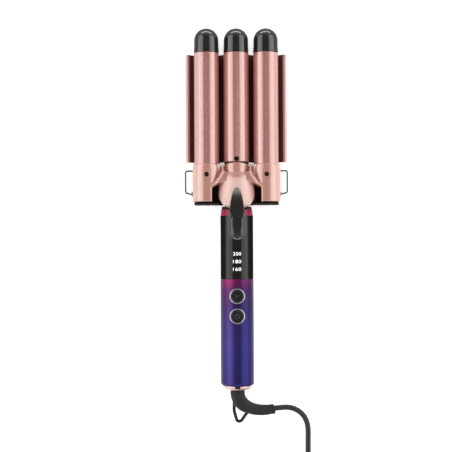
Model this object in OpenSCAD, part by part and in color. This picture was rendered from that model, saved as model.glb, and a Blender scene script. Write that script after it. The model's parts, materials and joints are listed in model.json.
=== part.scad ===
// A triple-barrel curling iron, lying on its back on a table.
// X runs across the barrels, Y from the cord to the tips, Z up from the table.

/* [Barrels] */
// Radius of a barrel
barrel_r = 12.5; // [11:0.5:14]
// Wall of a barrel's tube
barrel_wall = 1.2; // [0.8:0.1:1.6]
// Length of a barrel above the clamp housing
barrel_len = 109; // [95:1:125]
// Distance from the middle barrel's axis to an outer barrel's axis
barrel_pitch = 29.7; // [29:0.1:34]
// Length of a black tip beyond its barrel
tip_len = 25; // [20:1:32]
// How far a tip's plug reaches into its barrel
tip_plug = 9; // [5:1:14]
// Distance from the clamp hinge up to the foot of the barrels and plate
head_reach = 31.2; // [30:0.1:33]
// How far an outer barrel runs down inside its sleeve
barrel_sunk = 20; // [16:0.2:20.6]
// How far a moulded seat reaches up inside its barrel
seat_reach = 18; // [12:1:20]

/* [Wave plate] */
// Thickness of the formed sheet
plate_t = 2.4; // [1.8:0.2:2.6]
// Gap under a closed outer barrel
trough_gap = 1.0; // [0.6:0.1:1.6]
// Height of the plate's rim above the floor of its troughs
rim_rise = 9.5; // [7:0.5:11]
// Width of the flat rim
rim_w = 4; // [3:0.5:6]
// Depth of the rim's turned-down edge
rim_lip = 6; // [4:0.5:7]
// How much shorter the plate is than the barrels
plate_short = 0.6; // [0:0.2:4]
// Distance from the plate's foot to its first screw
plate_screw_up = 5.5; // [5:0.5:7]
// Distance between the plate's two screws
plate_screw_pitch = 6.5; // [6:0.5:7.5]

/* [Clamp housing] */
// Wall of a sleeve round its barrel
sleeve_wall = 1.8; // [1.4:0.1:2.2]
// Distance from the hinge up to the top of a sleeve
sleeve_up = 29.5; // [28:0.5:30]
// Distance from the hinge down to the foot of a sleeve
sleeve_down = 8.6; // [6:0.2:9]
// Length of the round shoulder at the top of a sleeve
sleeve_shoulder = 5; // [3:0.5:8]
// How much narrower a sleeve is at its top
sleeve_nip = 1.1; // [0.5:0.1:1.2]
// Distance from the middle to the straight inner side of a sleeve's lower half
sleeve_cut = 24.5; // [23:0.5:26]
// Distance from the hinge up to the end of that straight side
sleeve_cut_up = 5.5; // [3:0.5:7]
// How much higher the cut ends beside the dome
sleeve_cut_rise = 3.5; // [2:0.5:5]
// Widest radius of the dome
dome_r = 18.2; // [17.4:0.1:18.6]
// Length of the dome's upper half if it ended in a point
dome_up = 29; // [26:0.5:30]
// Wall of the dome and collar
dome_wall = 2.2; // [1.8:0.1:2.6]
// How much lower the collar's end is at its sides than at its front
collar_slant = 2.5; // [1.5:0.5:3.5]
// How far the clamp opens, in degrees
clamp_open = 16; // [10:1:18]

/* [Thumb lever] */
// Distance from the hinge up to the lever's pointed end
lever_up = 5.4; // [4:0.2:7]
// Distance from the hinge down to the lever's thumb end
lever_down = 47; // [40:1:52]
// Half the width of the thumb pad
lever_half = 8; // [6.5:0.5:9]
// Thickness of the lever
lever_t = 4.4; // [3.6:0.2:5.5]
// Height of the raised lip at the thumb end
lever_lip = 1.4; // [0.8:0.2:2.4]
// Radius of a lever screw
lever_screw_r = 1.1; // [0.8:0.1:1.3]

/* [Hinge] */
// Radius of the hinge pin
pin_r = 2; // [1.5:0.1:2.5]
// Half the length of the hinge pin
pin_half = 16.4; // [15.6:0.1:16.8]
// Radius of the bosses round the pin
boss_r = 5; // [4:0.5:5.5]
// Radius of the spring's wire
spring_wire = 0.8; // [0.6:0.1:1]
// Turns of the spring
spring_turns = 5; // [3:1:5]

/* [Head base and neck] */
// Thickness of the base's floor
base_floor = 3; // [2.6:0.2:4]
// How far the base reaches past the axis of an outer barrel
base_reach = 12.8; // [11:0.2:14]
// Distance from the hinge down to the foot of the base
base_down = 11.6; // [11:0.2:13]
// Distance from the hinge up to the top of the base
base_up = 21.4; // [20:0.2:22]
// Thickness of the wall along the base's foot
base_wall = 2.2; // [1.6:0.2:2.6]
// Height of that wall above the table
base_wall_h = 16.5; // [12:0.5:17]
// Half the width of the neck inside the dome
neck_half = 11; // [10:0.2:11.2]
// Height of the neck's top above the table, under the dome's lip
neck_top = 15.3; // [13:0.1:15.4]
// Half the width of the tongue that goes into the handle
tongue_half = 8.5; // [7:0.5:8.5]
// How far the tongue goes into the handle
tongue_len = 26; // [22:1:30]
// Length of the neck's stub inside the middle barrel
stub_len = 16; // [14:1:20]

/* [Handle] */
// Radius of the gradient grip
grip_r = 16.5; // [15.5:0.1:17.5]
// Wall of the grip and the black sleeve
grip_wall = 2.2; // [1.6:0.1:2.6]
// Length of the grip
grip_len = 106; // [100:1:120]
// How much slimmer the black sleeve is than the grip
sleeve_step = 0.2; // [0.1:0.1:0.5]
// Length of the black sleeve
sleeve_len = 63; // [58:1:75]
// Length of the magenta band
band_len = 6; // [4.5:0.5:8]
// How much slimmer the lower edge of the black collar is than the grip
collar_slim = 1.2; // [0.9:0.1:1.4]
// Length of the black collar
collar_len = 3.3; // [2.5:0.1:4]
// Distance from the hinge down to the top of the handle
handle_drop = 13.3; // [12.8:0.1:14]
// Radius of the tail ring
tail_r = 12.8; // [12:0.1:13.4]
// Length of the tail ring beyond the grip
tail_len = 4; // [3:0.5:6]
// Wall of the frame inside the handle
frame_wall = 2; // [1.5:0.1:2.4]

/* [Controls] */
// Radius of a button
button_r = 6.3; // [5:0.1:6.8]
// Width of the bright ring round a button
ring_w = 1.3; // [1:0.1:1.8]
// Travel of a button
button_travel = 0.6; // [0.3:0.1:0.8]
// Distance from the top of the grip to the upper button
button_from_top = 16.6; // [14:0.1:20]
// Distance between the two buttons
button_pitch = 19.8; // [18:0.1:24]
// Height of a button's face above the grip
button_proud = 0.5; // [0.2:0.1:1]
// Distance from the top of the black sleeve to the first number
numbers_from_top = 38.2; // [34:0.1:40]
// Distance between the three numbers
number_pitch = 7.6; // [6.6:0.1:7.6]
// Height of a number
number_h = 3.8; // [3:0.1:4.4]
// Width of a number
number_w = 8.4; // [7:0.1:9]

/* [Stand] */
// Radius of the stand's wire
wire_r = 0.85; // [0.6:0.05:1]
// How far the stand stands out from the lugs
stand_out = 6.1; // [4.9:0.2:8]
// Length of the stand from its pivot to its crossbar
stand_len = 23.4; // [23.2:0.2:25]
// Height of the stand's pivot above the table
stand_z = 1.9; // [1.7:0.1:2]
// How far a lug stands out from the base
lug_out = 3; // [2.5:0.5:4]
// Length of a lug along the base
lug_len = 7; // [5:0.5:9]

/* [Cord] */
// Radius of the cord
cord_r = 2.7; // [2.4:0.05:2.75]
// Radius of the boot where it leaves the tail ring
boot_r = 7.2; // [6.5:0.1:7.5]
// Radius of the strand of the hanging loop
loop_r = 1.4; // [1.2:0.1:1.6]
// Radius at the middle of the coil's turns
coil_r = 32.4; // [31:0.2:34]
// Distance between neighbouring turns of the coil
coil_step = 5.9; // [5.9:0.1:6.4]
// Layers of the coil
coil_layers = 4; // [2:2:4]
// Turns of the coil in all
coil_turns = 8.25; // [4.25:1:8.25]
// Thickness of the tie round the coil
tie_t = 0.7; // [0.5:0.1:0.7]
// Width of the tie
tie_w = 8; // [5:1:12]

/* [Plug] */
// Radius of a plug pin
plug_pin_r = 2; // [1.8:0.1:2.4]
// Length of a plug pin
plug_pin_len = 19; // [17:0.5:20]
// Distance between the plug's pins
plug_pin_pitch = 18.6; // [17:0.2:19.4]
// Width of the plug's body
plug_w = 35.3; // [33:0.1:38]
// Thickness of the plug's body
plug_t = 13.7; // [12:0.1:14.5]
// Length of the plug's body
plug_len = 24; // [20:1:30]

/* [Fits] */
// Gap round a part that is pushed into its seat
seat_gap = 0.1; // [0.05:0.05:0.2]
// Gap round a part that turns or slides
run_gap = 0.05; // [0.03:0.01:0.1]
// Gap between parts that pass each other
pass_gap = 0.4; // [0.3:0.1:0.6]

/* [Hidden] */
$fn = 64;

above_hinge = head_reach + barrel_len + tip_len;
below_hinge = handle_drop + collar_len + band_len + sleeve_len + grip_len + tail_len;
hinge_y = (below_hinge - above_hinge) / 2;
handle_z = grip_r;
sleeve_r = barrel_r + sleeve_wall;
base_half = barrel_pitch + base_reach;
stand_half = base_half + lug_out + stand_out;
floor_gap = 1;
hinge_z = base_floor + floor_gap + sleeve_r;

barrel_y = hinge_y + head_reach;
barrel_top = barrel_y + barrel_len;
outer_foot = barrel_y - barrel_sunk;
inner_r = barrel_r - barrel_wall;
tip_slim = 0.3;

trough_z = hinge_z - barrel_r - trough_gap;
trough_half = barrel_pitch - barrel_r;
trough_r = (trough_half * trough_half + rim_rise * rim_rise) / (2 * rim_rise);
rim_z = trough_z + rim_rise;
rim_in = barrel_pitch + trough_half;

collar_top = hinge_y - handle_drop;
band_top = collar_top - collar_len;
sleeve_top = band_top - band_len;
grip_top = sleeve_top - sleeve_len;
grip_foot = grip_top - grip_len;
tail_foot = grip_foot - tail_len;
bore_r = grip_r - grip_wall;
collar_r = grip_r - collar_slim;
frame_r = bore_r - 2 * seat_gap;
frame_in = frame_r - frame_wall;
frame_top_z = handle_z + 3.8;
frame_y0 = grip_foot + 6;
frame_y1 = sleeve_top - 1.3;

collar_in = barrel_r - dome_wall;
core_r = collar_in - 0.5;
cup_r = dome_r + 0.5;
lip_rise = 3;
collar_end = barrel_y - 0.8;
heel_gap = 0.5;

big = 400;

// Shapes that run along an axis

module rod_y(r, y0, y1, x = 0, z = 0) {
    translate([x, y0, z]) rotate([-90, 0, 0]) cylinder(r = r, h = y1 - y0);
}

module cone_y(r0, r1, y0, y1, x = 0, z = 0) {
    translate([x, y0, z]) rotate([-90, 0, 0]) cylinder(r1 = r0, r2 = r1, h = y1 - y0);
}

module rod_x(r, x0, x1, y, z) {
    translate([x0, y, z]) rotate([0, 90, 0]) cylinder(r = r, h = x1 - x0);
}

module rod_z(r, z0, z1, x, y) {
    translate([x, y, z0]) cylinder(r = r, h = z1 - z0);
}

module box(x0, x1, y0, y1, z0, z1) {
    translate([x0, y0, z0]) cube([x1 - x0, y1 - y0, z1 - z0]);
}

// A flat outline drawn in X and Z, drawn out along Y
module prism_y(y0, y1) {
    translate([0, y1, 0]) rotate([90, 0, 0]) linear_extrude(y1 - y0) children();
}

// A flat outline drawn in Y and Z, drawn out along X
module prism_x(x0, x1) {
    translate([x0, 0, 0]) rotate([90, 0, 90]) linear_extrude(x1 - x0) children();
}

// A profile of radius and height, turned round an axis along Y
module turned_y(x, y, z) {
    translate([x, y, z]) rotate([-90, 0, 0]) rotate_extrude() children();
}

module both_sides() {
    children();
    mirror([1, 0, 0]) children();
}

// A pan-head screw, from the underside of its head down its own axis
module screw(r, len, head_r, head_h) {
    translate([0, 0, -len]) cylinder(r = r, h = len);
    difference() {
        cylinder(r = head_r, h = head_h);
        for (turn = [0, 90]) rotate([0, 0, turn])
            translate([-head_r * 0.6, -0.25, head_h - 0.5]) cube([head_r * 1.2, 0.5, 1]);
    }
}

// Tubes swept along a line of points

function unit(v) = v / norm(v);
function heading(path, i) = unit(path[min(i + 1, len(path) - 1)] - path[max(i - 1, 0)]);
function side_of(d) = abs(d.z) > 0.9 ? unit(cross(d, [0, 1, 0])) : unit(cross(d, [0, 0, 1]));
function ring(c, d, r, sides) = let (s = side_of(d), t = cross(s, d))
    [for (k = [0:sides - 1]) c + r * cos(360 * (k + 0.5) / sides) * s + r * sin(360 * (k + 0.5) / sides) * t];

module swept(path, radii, sides) {
    rings = len(path);
    points = [for (i = [0:rings - 1]) each ring(path[i], heading(path, i), radii[i], sides)];
    walls = [for (i = [0:rings - 2]) for (k = [0:sides - 1])
        let (a = i * sides + k, b = i * sides + (k + 1) % sides)
        each [[a, b, b + sides], [a, b + sides, a + sides]]];
    caps = [for (k = [1:sides - 2]) each [[0, k + 1, k],
        [(rings - 1) * sides, (rings - 1) * sides + k, (rings - 1) * sides + k + 1]]];
    polyhedron(points = points, faces = [for (f = concat(walls, caps)) [f[2], f[1], f[0]]]);
}

// A smooth curve through hand-set points, so many steps from one to the next
function between(a, b, c, d, t) = 0.5 * (2 * b + (c - a) * t + (2 * a - 5 * b + 4 * c - d) * t * t
    + (3 * b - a - 3 * c + d) * t * t * t);
function smooth(path, steps) = let (n = len(path) - 1) concat(
    [for (i = [0:n - 1]) for (k = [0:steps - 1])
        between(path[max(i - 1, 0)], path[i], path[i + 1], path[min(i + 2, n)], k / steps)],
    [path[n]]);

// Head base and neck

module head_base() {
    foot = hinge_y - base_down;
    top = hinge_y + base_up;
    color([0.12, 0.12, 0.12]) difference() {
        union() {
            box(-base_half, base_half, foot, top, 0, base_floor);
            both_sides() {
                box(dome_r - 1.2, base_half, foot, foot + base_wall, 0, base_wall_h);
                lug();
            }
        }
        both_sides() {
            base_corner(foot, -1);
            base_corner(top, 1);
            rod_x(wire_r + run_gap, base_half - 2, base_half + lug_out + 1, hinge_y, stand_z);
        }
        for (y = base_screw_y) {
            rod_z(1.4, -1, base_floor + 1, 0, y);
            rod_z(2.7, -1, 1.6, 0, y);
        }
    }
}

base_corner_r = 5;
base_screw_y = [hinge_y - 8, hinge_y + 14];

// What is left over outside a rounded corner of the base
module base_corner(y, way) {
    translate([base_half - base_corner_r, y - way * base_corner_r, -1]) difference() {
        translate([0, way > 0 ? 0 : -base_corner_r - 1, 0]) cube([base_corner_r + 1, base_corner_r + 1, big]);
        translate([0, 0, -1]) cylinder(r = base_corner_r, h = big + 2);
    }
}

module lug() {
    x0 = base_half;
    x1 = base_half + lug_out;
    half = lug_len / 2;
    translate([0, hinge_y, 0]) linear_extrude(stand_z + 2.6)
        polygon([[x0 - 1, -half], [x0 + lug_out / 2, -half], [x1, -half / 2], [x1, half / 2], [x0, half],
            [x0 - 1, half]]);
}

spine_y = hinge_y + base_up;
spine_half = 8.5;
neck_flange = 4.2;
saddle_r = barrel_r + seat_gap + plate_t;
shelf_z = hinge_z - saddle_r - seat_gap;

module neck_core() {
    ear_x0 = spring_half + 0.4;
    color([0.14, 0.14, 0.14]) difference() {
        union() {
            box(-neck_half, neck_half, hinge_y - base_down, hinge_y + 9, base_floor, neck_top);
            box(-tongue_half, tongue_half, collar_top - tongue_len, hinge_y - base_down + 1,
                tongue_z, neck_top);
            box(-spine_half, spine_half, hinge_y + 8, barrel_y, base_floor, hinge_z);
            box(-spine_half, spine_half, spine_y, barrel_y, 0, hinge_z);
            box(-spine_half, spine_half, barrel_y - 1, barrel_y + stub_len, 0, shelf_z);
            rod_y(core_r, hinge_y + 12, barrel_y, 0, hinge_z);
            both_sides() {
                box(ear_x0, neck_half, hinge_y - boss_r, hinge_y + boss_r, neck_top - 1, hinge_z);
                rod_x(boss_r, ear_x0, neck_half, hinge_y, hinge_z);
            }
            difference() {
                rod_y(barrel_r - 0.2, barrel_y - neck_flange, barrel_y - 0.1, 0, hinge_z);
                slanted_end(pass_gap);
            }
            rod_y(inner_r - seat_gap, barrel_y - 1, barrel_y + stub_len, 0, hinge_z);
        }
        box(-spring_half - 0.4, spring_half + 0.4, hinge_y - spring_room, hinge_y + spring_room,
            hinge_z - spring_room, big);
        rod_x(pin_r, -neck_half - 1, neck_half + 1, hinge_y, hinge_z);
        box(-spine_half - 1, spine_half + 1, hinge_y + stand_len - 2, hinge_y + stand_len + 2, -1,
            stand_z + wire_r + 0.5);
        for (y = base_screw_y) rod_z(1.2, base_floor - 1, base_floor + 7.5, 0, y);
        for (y = neck_screw_y) rod_z(1.4, tongue_z - 1, neck_top + 1, 0, y);
        for (y = plate_screw_y) {
            rod_z(1.4, -1, shelf_z + 1, 0, y);
            rod_z(2.7, -1, 1.6, 0, y);
            rod_z(1.2, shelf_z, plate_hole_top, 0, y);
        }
        rod_z(screw_head + 0.1, hinge_z + inner_r - 1.9, big, 0, middle_screw_y);
        rod_z(1.2, hinge_z + inner_r - 9, big, 0, middle_screw_y);
    }
}

tongue_z = handle_z - sqrt(frame_in * frame_in - tongue_half * tongue_half) + 0.1;
spring_half = 5.4;
spring_room = 6.4;
screw_head = 2.3;
middle_screw_y = barrel_y + 2.6;
neck_screw_y = [collar_top - 16, collar_top - 22];
plate_screw_y = [barrel_y + plate_screw_up, barrel_y + plate_screw_up + plate_screw_pitch];
plate_hole_top = hinge_z - 3;

// All that lies below the slanted end of the clamp's collar
module slanted_end(gap) {
    run = barrel_r;
    prism_x(-big / 2, big / 2) polygon([
        [collar_end - collar_slant + gap, hinge_z], [collar_end + gap, hinge_z + run],
        [collar_end + gap, hinge_z + run + 9], [hinge_y, hinge_z + run + 9], [hinge_y, hinge_z]]);
}

module base_screws() {
    color("silver") for (y = base_screw_y)
        translate([0, y, 1.6]) mirror([0, 0, 1]) screw(1.1, 7.5, 2.5, 1.2);
}

module neck_screws() {
    color("silver") for (y = neck_screw_y)
        translate([0, y, neck_top]) screw(1.2, neck_top - frame_floor_z - 1, 2.4, 1.4);
}

// Wave plate

module wave_outline() {
    difference() {
        union() {
            intersection() {
                union() {
                    for (side = [-1, 1]) translate([side * barrel_pitch, trough_z + trough_r])
                        circle(trough_r + plate_t);
                    translate([0, hinge_z]) circle(saddle_r);
                }
                translate([-rim_in, 0]) square([2 * rim_in, rim_z]);
            }
            for (side = [-1, 1]) {
                translate([side * (rim_in + rim_w / 2), rim_z - plate_t / 2])
                    square([rim_w, plate_t], center = true);
                translate([side * (rim_in + rim_w - plate_t / 2), rim_z - rim_lip / 2])
                    square([plate_t, rim_lip], center = true);
            }
        }
        for (side = [-1, 1]) translate([side * barrel_pitch, trough_z + trough_r]) circle(trough_r);
        translate([0, hinge_z]) circle(barrel_r + seat_gap);
    }
}

module wave_plate() {
    color([0.82, 0.55, 0.53]) difference() {
        prism_y(barrel_y, barrel_top - plate_short) wave_outline();
        for (y = plate_screw_y) rod_z(1.4, -1, hinge_z, 0, y);
    }
}

module plate_screws() {
    color("silver") for (y = plate_screw_y)
        translate([0, y, 1.6]) mirror([0, 0, 1]) screw(1.1, plate_hole_top - 1.8, 2.5, 1.2);
}

// Barrels and tips

module barrel(x, foot) {
    difference() {
        rod_y(barrel_r, foot, barrel_top, x, hinge_z);
        rod_y(inner_r, foot - 1, barrel_top + 1, x, hinge_z);
    }
}

module tip(x) {
    round_r = barrel_r - tip_slim;
    color([0.1, 0.1, 0.1]) {
        intersection() {
            turned_y(x, barrel_top, hinge_z) union() {
                polygon([[0, 0], [barrel_r, 0], [barrel_r, 1], [round_r, 6], [round_r, tip_len - round_r],
                    [0, tip_len - round_r]]);
                translate([0, tip_len - round_r]) intersection() {
                    circle(round_r);
                    square(round_r + 1);
                }
            }
            box(x - big, x + big, barrel_top, barrel_top + tip_len, -big, big);
        }
        rod_y(inner_r - seat_gap, barrel_top - tip_plug, barrel_top + 0.5, x, hinge_z);
    }
}

module carrier(x) {
    y0 = barrel_y + stub_len + 3;
    y1 = barrel_top - tip_plug - 3;
    color([0.75, 0.76, 0.78]) prism_y(y0, y1) translate([x, hinge_z]) difference() {
        circle(inner_r - seat_gap);
        square([ceramic_w + 2 * seat_gap, ceramic_t + 2 * seat_gap], center = true);
        square([big, 1.2], center = true);
        for (side = [-1, 1]) translate([0, side * 6.6]) circle(fuse_r + seat_gap);
    }
}

ceramic_w = 15;
ceramic_t = 4;
fuse_r = 1.9;

module ceramic(x) {
    color([0.9, 0.88, 0.84]) translate([x, 0, hinge_z])
        box(-ceramic_w / 2, ceramic_w / 2, barrel_y + stub_len + 5, barrel_top - tip_plug - 5,
            -ceramic_t / 2, ceramic_t / 2);
}

module middle_barrel() {
    color([0.86, 0.6, 0.57]) difference() {
        barrel(0, barrel_y);
        rod_z(screw_head + 0.15, hinge_z, big, 0, middle_screw_y);
        for (y = plate_screw_y) rod_z(1.4, -1, hinge_z, 0, y);
    }
}

module middle_tip() { tip(0); }

module middle_carrier() { carrier(0); }

module middle_ceramic() { ceramic(0); }

module thermal_fuse() {
    color([0.8, 0.8, 0.75]) {
        rod_y(fuse_r, barrel_y + stub_len + 8, barrel_y + stub_len + 20, 0, hinge_z + 6.6);
        rod_y(0.5, barrel_y + stub_len + 5, barrel_y + stub_len + 24, 0, hinge_z + 6.6);
    }
}

module middle_screw() {
    color([0.2, 0.2, 0.2]) translate([0, middle_screw_y, hinge_z + inner_r - 1.9])
        screw(1.1, 6.5, screw_head, 1.3);
}

module outer_barrel(side) {
    color([0.86, 0.6, 0.57]) difference() {
        barrel(side * barrel_pitch, outer_foot);
        rod_z(1.3, hinge_z, big, side * barrel_pitch, sleeve_screw_y);
    }
}

sleeve_screw_y = hinge_y + 18.4;
sleeve_screw_end = 4.5;

module left_barrel() { outer_barrel(-1); }

module right_barrel() { outer_barrel(1); }

module left_tip() { tip(-barrel_pitch); }

module right_tip() { tip(barrel_pitch); }

module left_carrier() { carrier(-barrel_pitch); }

module right_carrier() { carrier(barrel_pitch); }

module left_ceramic() { ceramic(-barrel_pitch); }

module right_ceramic() { ceramic(barrel_pitch); }

// Hinge

module hinge_pin() {
    color([0.7, 0.7, 0.72]) rod_x(pin_r, -pin_half, pin_half, hinge_y, hinge_z);
}

spring_r = pin_r + 0.4 + spring_wire;
spring_rings = 8;

function spring_point(turn) = [
    (turn / spring_turns - 0.5) * (2 * spring_half - 2 * spring_wire - 0.8),
    hinge_y + spring_r * cos(360 * turn + 90),
    hinge_z + spring_r * sin(360 * turn + 90)];

module clamp_spring() {
    first = spring_point(0);
    last = spring_point(spring_turns);
    leg = 6;
    path = concat([first + [0, leg, 0]], [for (i = [0:spring_turns * spring_rings])
        spring_point(i / spring_rings)], [last + [0, -leg, 0]]);
    color([0.6, 0.6, 0.62]) swept(path, [for (p = path) spring_wire], 6);
}

// Clamp housing

// Everything that would reach below the floor's clearance once the clamp is open
module heel_sweep() {
    translate([0, hinge_y, hinge_z]) rotate([-clamp_open, 0, 0])
        translate([-big / 2, -big / 2, -big - (hinge_z - base_floor - heel_gap)])
            cube([big, big, big]);
}

// The corner that is cut off the inner side of a sleeve's lower half, on the right side
module inner_cut(grow) {
    x1 = sleeve_cut + grow;
    y1 = hinge_y + sleeve_cut_up + grow;
    translate([0, 0, -big / 2]) linear_extrude(big) polygon([
        [0, hinge_y - big], [x1, hinge_y - big], [x1, y1], [sleeve_cut - 7, y1 + sleeve_cut_rise],
        [0, y1 + sleeve_cut_rise * 3.5]]);
}

module sleeve_form() {
    y0 = hinge_y - sleeve_down;
    y1 = hinge_y + sleeve_up;
    slim = sleeve_r - sleeve_nip;
    turned_y(barrel_pitch, 0, hinge_z) polygon([
        [0, y0], [sleeve_r, y0], [sleeve_r, y1 - sleeve_shoulder],
        [sleeve_r - sleeve_nip * 0.2, y1 - sleeve_shoulder * 0.6],
        [sleeve_r - sleeve_nip * 0.5, y1 - sleeve_shoulder * 0.28], [slim, y1], [0, y1]]);
}

module sleeve() {
    y0 = hinge_y - sleeve_down;
    y1 = hinge_y + sleeve_up;
    difference() {
        sleeve_form();
        inner_cut(0);
        difference() {
            rod_y(barrel_r + seat_gap, y0 - 1, y1 + 1, barrel_pitch, hinge_z);
            inner_cut(sleeve_wall);
        }
    }
}

dome_steps = 10;

// Half the outline of dome and collar, as radius and height above the hinge
module dome_profile(less) {
    r = dome_r - less;
    up = dome_up - less;
    neck = barrel_r - less;
    last = acos(neck / r);
    union() {
        polygon(concat([[0, 0]], [for (i = [0:dome_steps]) let (a = last * i / dome_steps)
            [r * cos(a), up * sin(a)]], [[neck, head_reach + 1], [0, head_reach + 1]]));
        intersection() {
            circle(r);
            translate([0, -r]) square([r, r + 0.01]);
        }
    }
}

module dome_form(less) {
    turned_y(0, hinge_y, hinge_z) dome_profile(less);
}

module dome() {
    difference() {
        union() {
            difference() {
                dome_form(0);
                dome_form(dome_wall);
                box(-big, big, hinge_y + 8, big, -big, hinge_z);
                box(-big, big, -big, hinge_y - 7, -big, hinge_z + lip_rise);
                box(-big, big, -big, big, -big, hinge_z - 8);
            }
            intersection() {
                dome_form(dome_wall / 2);
                both_sides() rod_x(boss_r, neck_half + 0.5, dome_r, hinge_y, hinge_z);
            }
        }
        rod_x(pin_r + run_gap, -pin_half - 0.2, pin_half + 0.2, hinge_y, hinge_z);
        both_sides() difference() {
            box(0, big, collar_end - 2 * collar_slant - 2, big, hinge_z - 1, big);
            slanted_end(0);
        }
        for (y = lever_screw_y) rod_z(lever_screw_r + seat_gap, hinge_z + 5, big, 0, y);
    }
}

web_back = 4;
web_front = 1.6;
web_short = 3.1;

module web() {
    difference() {
        box(collar_in + 0.2, barrel_pitch - barrel_r - 1, hinge_y + 7, hinge_y + sleeve_up - web_short,
            hinge_z - web_back, hinge_z + web_front);
        inner_cut(0);
    }
}

module clamp_housing() {
    color([0.88, 0.64, 0.6]) difference() {
        union() {
            difference() {
                both_sides() {
                    sleeve();
                    web();
                }
                dome_form(0.01);
            }
            dome();
        }
        both_sides() rod_z(screw_head + 0.15, hinge_z + 5, big, barrel_pitch, sleeve_screw_y);
        heel_sweep();
    }
}

module seat() {
    y0 = hinge_y - sleeve_down + 0.6;
    color([0.13, 0.13, 0.13]) difference() {
        union() {
            rod_y(barrel_r - seat_gap, y0, outer_foot - seat_gap, barrel_pitch, hinge_z);
            rod_y(inner_r - seat_gap, y0, outer_foot + seat_reach, barrel_pitch, hinge_z);
        }
        inner_cut(sleeve_wall + 2 * seat_gap);
        rod_z(1.2, hinge_z + 2, big, barrel_pitch, sleeve_screw_y);
        heel_sweep();
    }
}

module right_seat() { seat(); }

module left_seat() { mirror([1, 0, 0]) seat(); }

module sleeve_screws() {
    color([0.2, 0.2, 0.2]) both_sides()
        translate([barrel_pitch, sleeve_screw_y, hinge_z + barrel_r + 0.05])
            screw(1.1, barrel_r - sleeve_screw_end, screw_head, 1.2);
}

// Thumb lever

lever_screw_y = [hinge_y - 0.6, hinge_y - 4.6];
lever_skin = 1;
handle_clear = handle_z + grip_r - hinge_z + pass_gap;

// Height of the lever's underside: level with the handle when the clamp is open
function lever_under(y) = hinge_z + (handle_clear + (hinge_y - y) * sin(clamp_open)) / cos(clamp_open);

lever_steps = 14;
pad_y = hinge_y - lever_down + 10.4;
lever_top_y = hinge_y + lever_up;

// Half the lever's width: a long pointed arch above the pad and a round end below it
function lever_width(y) = y > pad_y
    ? lever_half * sqrt(1 - pow((y - pad_y) / (lever_top_y - pad_y), 2.2))
    : lever_half * sqrt(max(0, 1 - pow((pad_y - y) / 10.4, 2)));

module lever_plan() {
    ys = concat(
        [for (i = [0:lever_steps]) lever_top_y - (lever_top_y - pad_y) * pow(i / lever_steps, 1.6)],
        [for (i = [1:lever_steps]) pad_y - 10.4 * sin(90 * i / lever_steps)]);
    polygon(concat([for (y = ys) [lever_width(y), y]],
        [for (i = [len(ys) - 2:-1:1]) [-lever_width(ys[i]), ys[i]]]));
}

module lever_side() {
    foot = hinge_y - lever_down;
    steps = 16;
    lift = function (t) lever_lip * pow(max(0, (t - 0.75) * 4), 2);
    polygon(concat(
        [for (i = [0:steps]) let (t = i / steps, y = lever_top_y + (foot - lever_top_y) * t)
            [y, lever_under(y) + lever_t + lift(t)]],
        [[foot, lever_under(foot)], [lever_top_y, lever_under(lever_top_y)]]));
}

module thumb_lever() {
    color([0.1, 0.1, 0.1]) difference() {
        intersection() {
            linear_extrude(big) lever_plan();
            prism_x(-lever_half - 1, lever_half + 1) lever_side();
        }
        dome_form(-0.02);
        for (y = lever_screw_y) rod_z(lever_screw_r, hinge_z, lever_under(y) + lever_t - lever_skin, 0, y);
    }
}

module lever_screws() {
    inner_z = hinge_z + dome_r - dome_wall;
    color("silver") for (y = lever_screw_y) {
        drop = dome_r - dome_wall - sqrt(pow(dome_r - dome_wall, 2) - pow(hinge_y - y + 2, 2));
        foot = inner_z - drop - 0.1;
        translate([0, y, foot]) mirror([0, 0, 1])
            screw(lever_screw_r - 0.05, lever_under(y) + lever_t - lever_skin - 0.3 - foot, 1.9, 1);
    }
}

// Stand

// The turn of a flat line at one of its corners, and how much of each side its bend takes up
function turn_at(path, i) = let (a = path[i] - path[i - 1], b = path[i + 1] - path[i])
    atan2(a.x * b.y - a.y * b.x, a.x * b.x + a.y * b.y);
function taken(path, bends, i) = i < 1 || i > len(path) - 2 ? 0
    : bends[i - 1] * tan(abs(turn_at(path, i)) / 2);

// Round wire along a flat line, bent at its corners
module bent_wire(path, bends, r) {
    for (i = [0:len(path) - 2]) {
        d = unit(path[i + 1] - path[i]);
        start = path[i] + taken(path, bends, i) * d;
        long = norm(path[i + 1] - start) - taken(path, bends, i + 1);
        translate([start.x, start.y, 0]) rotate([0, 0, atan2(d.y, d.x)]) rotate([0, 90, 0])
            cylinder(r = r, h = long);
        if (i > 0) {
            turn = turn_at(path, i);
            inward = [-d.y, d.x] * sign(turn);
            centre = start + bends[i - 1] * inward;
            last = atan2(-inward.y, -inward.x);
            translate([centre.x, centre.y, 0]) rotate([0, 0, turn > 0 ? last - turn : last])
                rotate_extrude(angle = abs(turn)) translate([bends[i - 1], 0]) circle(r);
        }
    }
}

module stand_wire() {
    top = hinge_y + stand_len;
    right = [[base_half - 0.2, hinge_y], [stand_half - 4.8, hinge_y], [stand_half, hinge_y + 1.4],
        [stand_half, top]];
    left = [for (i = [len(right) - 1:-1:0]) [-right[i].x, right[i].y]];
    color([0.8, 0.8, 0.82]) translate([0, 0, stand_z])
        bent_wire(concat(right, left), [2.1, 1.6, 2, 2, 1.6, 2.1], wire_r);
}

// Handle

// The round hollow in the handle's top in which the dome's lower half swings
module cup() {
    intersection() {
        union() {
            translate([0, hinge_y, hinge_z]) sphere(r = cup_r);
            rod_z(cup_r, hinge_z, big, 0, hinge_y);
        }
        box(-big, big, -big, big, neck_top + 0.1, big);
    }
}

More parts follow.
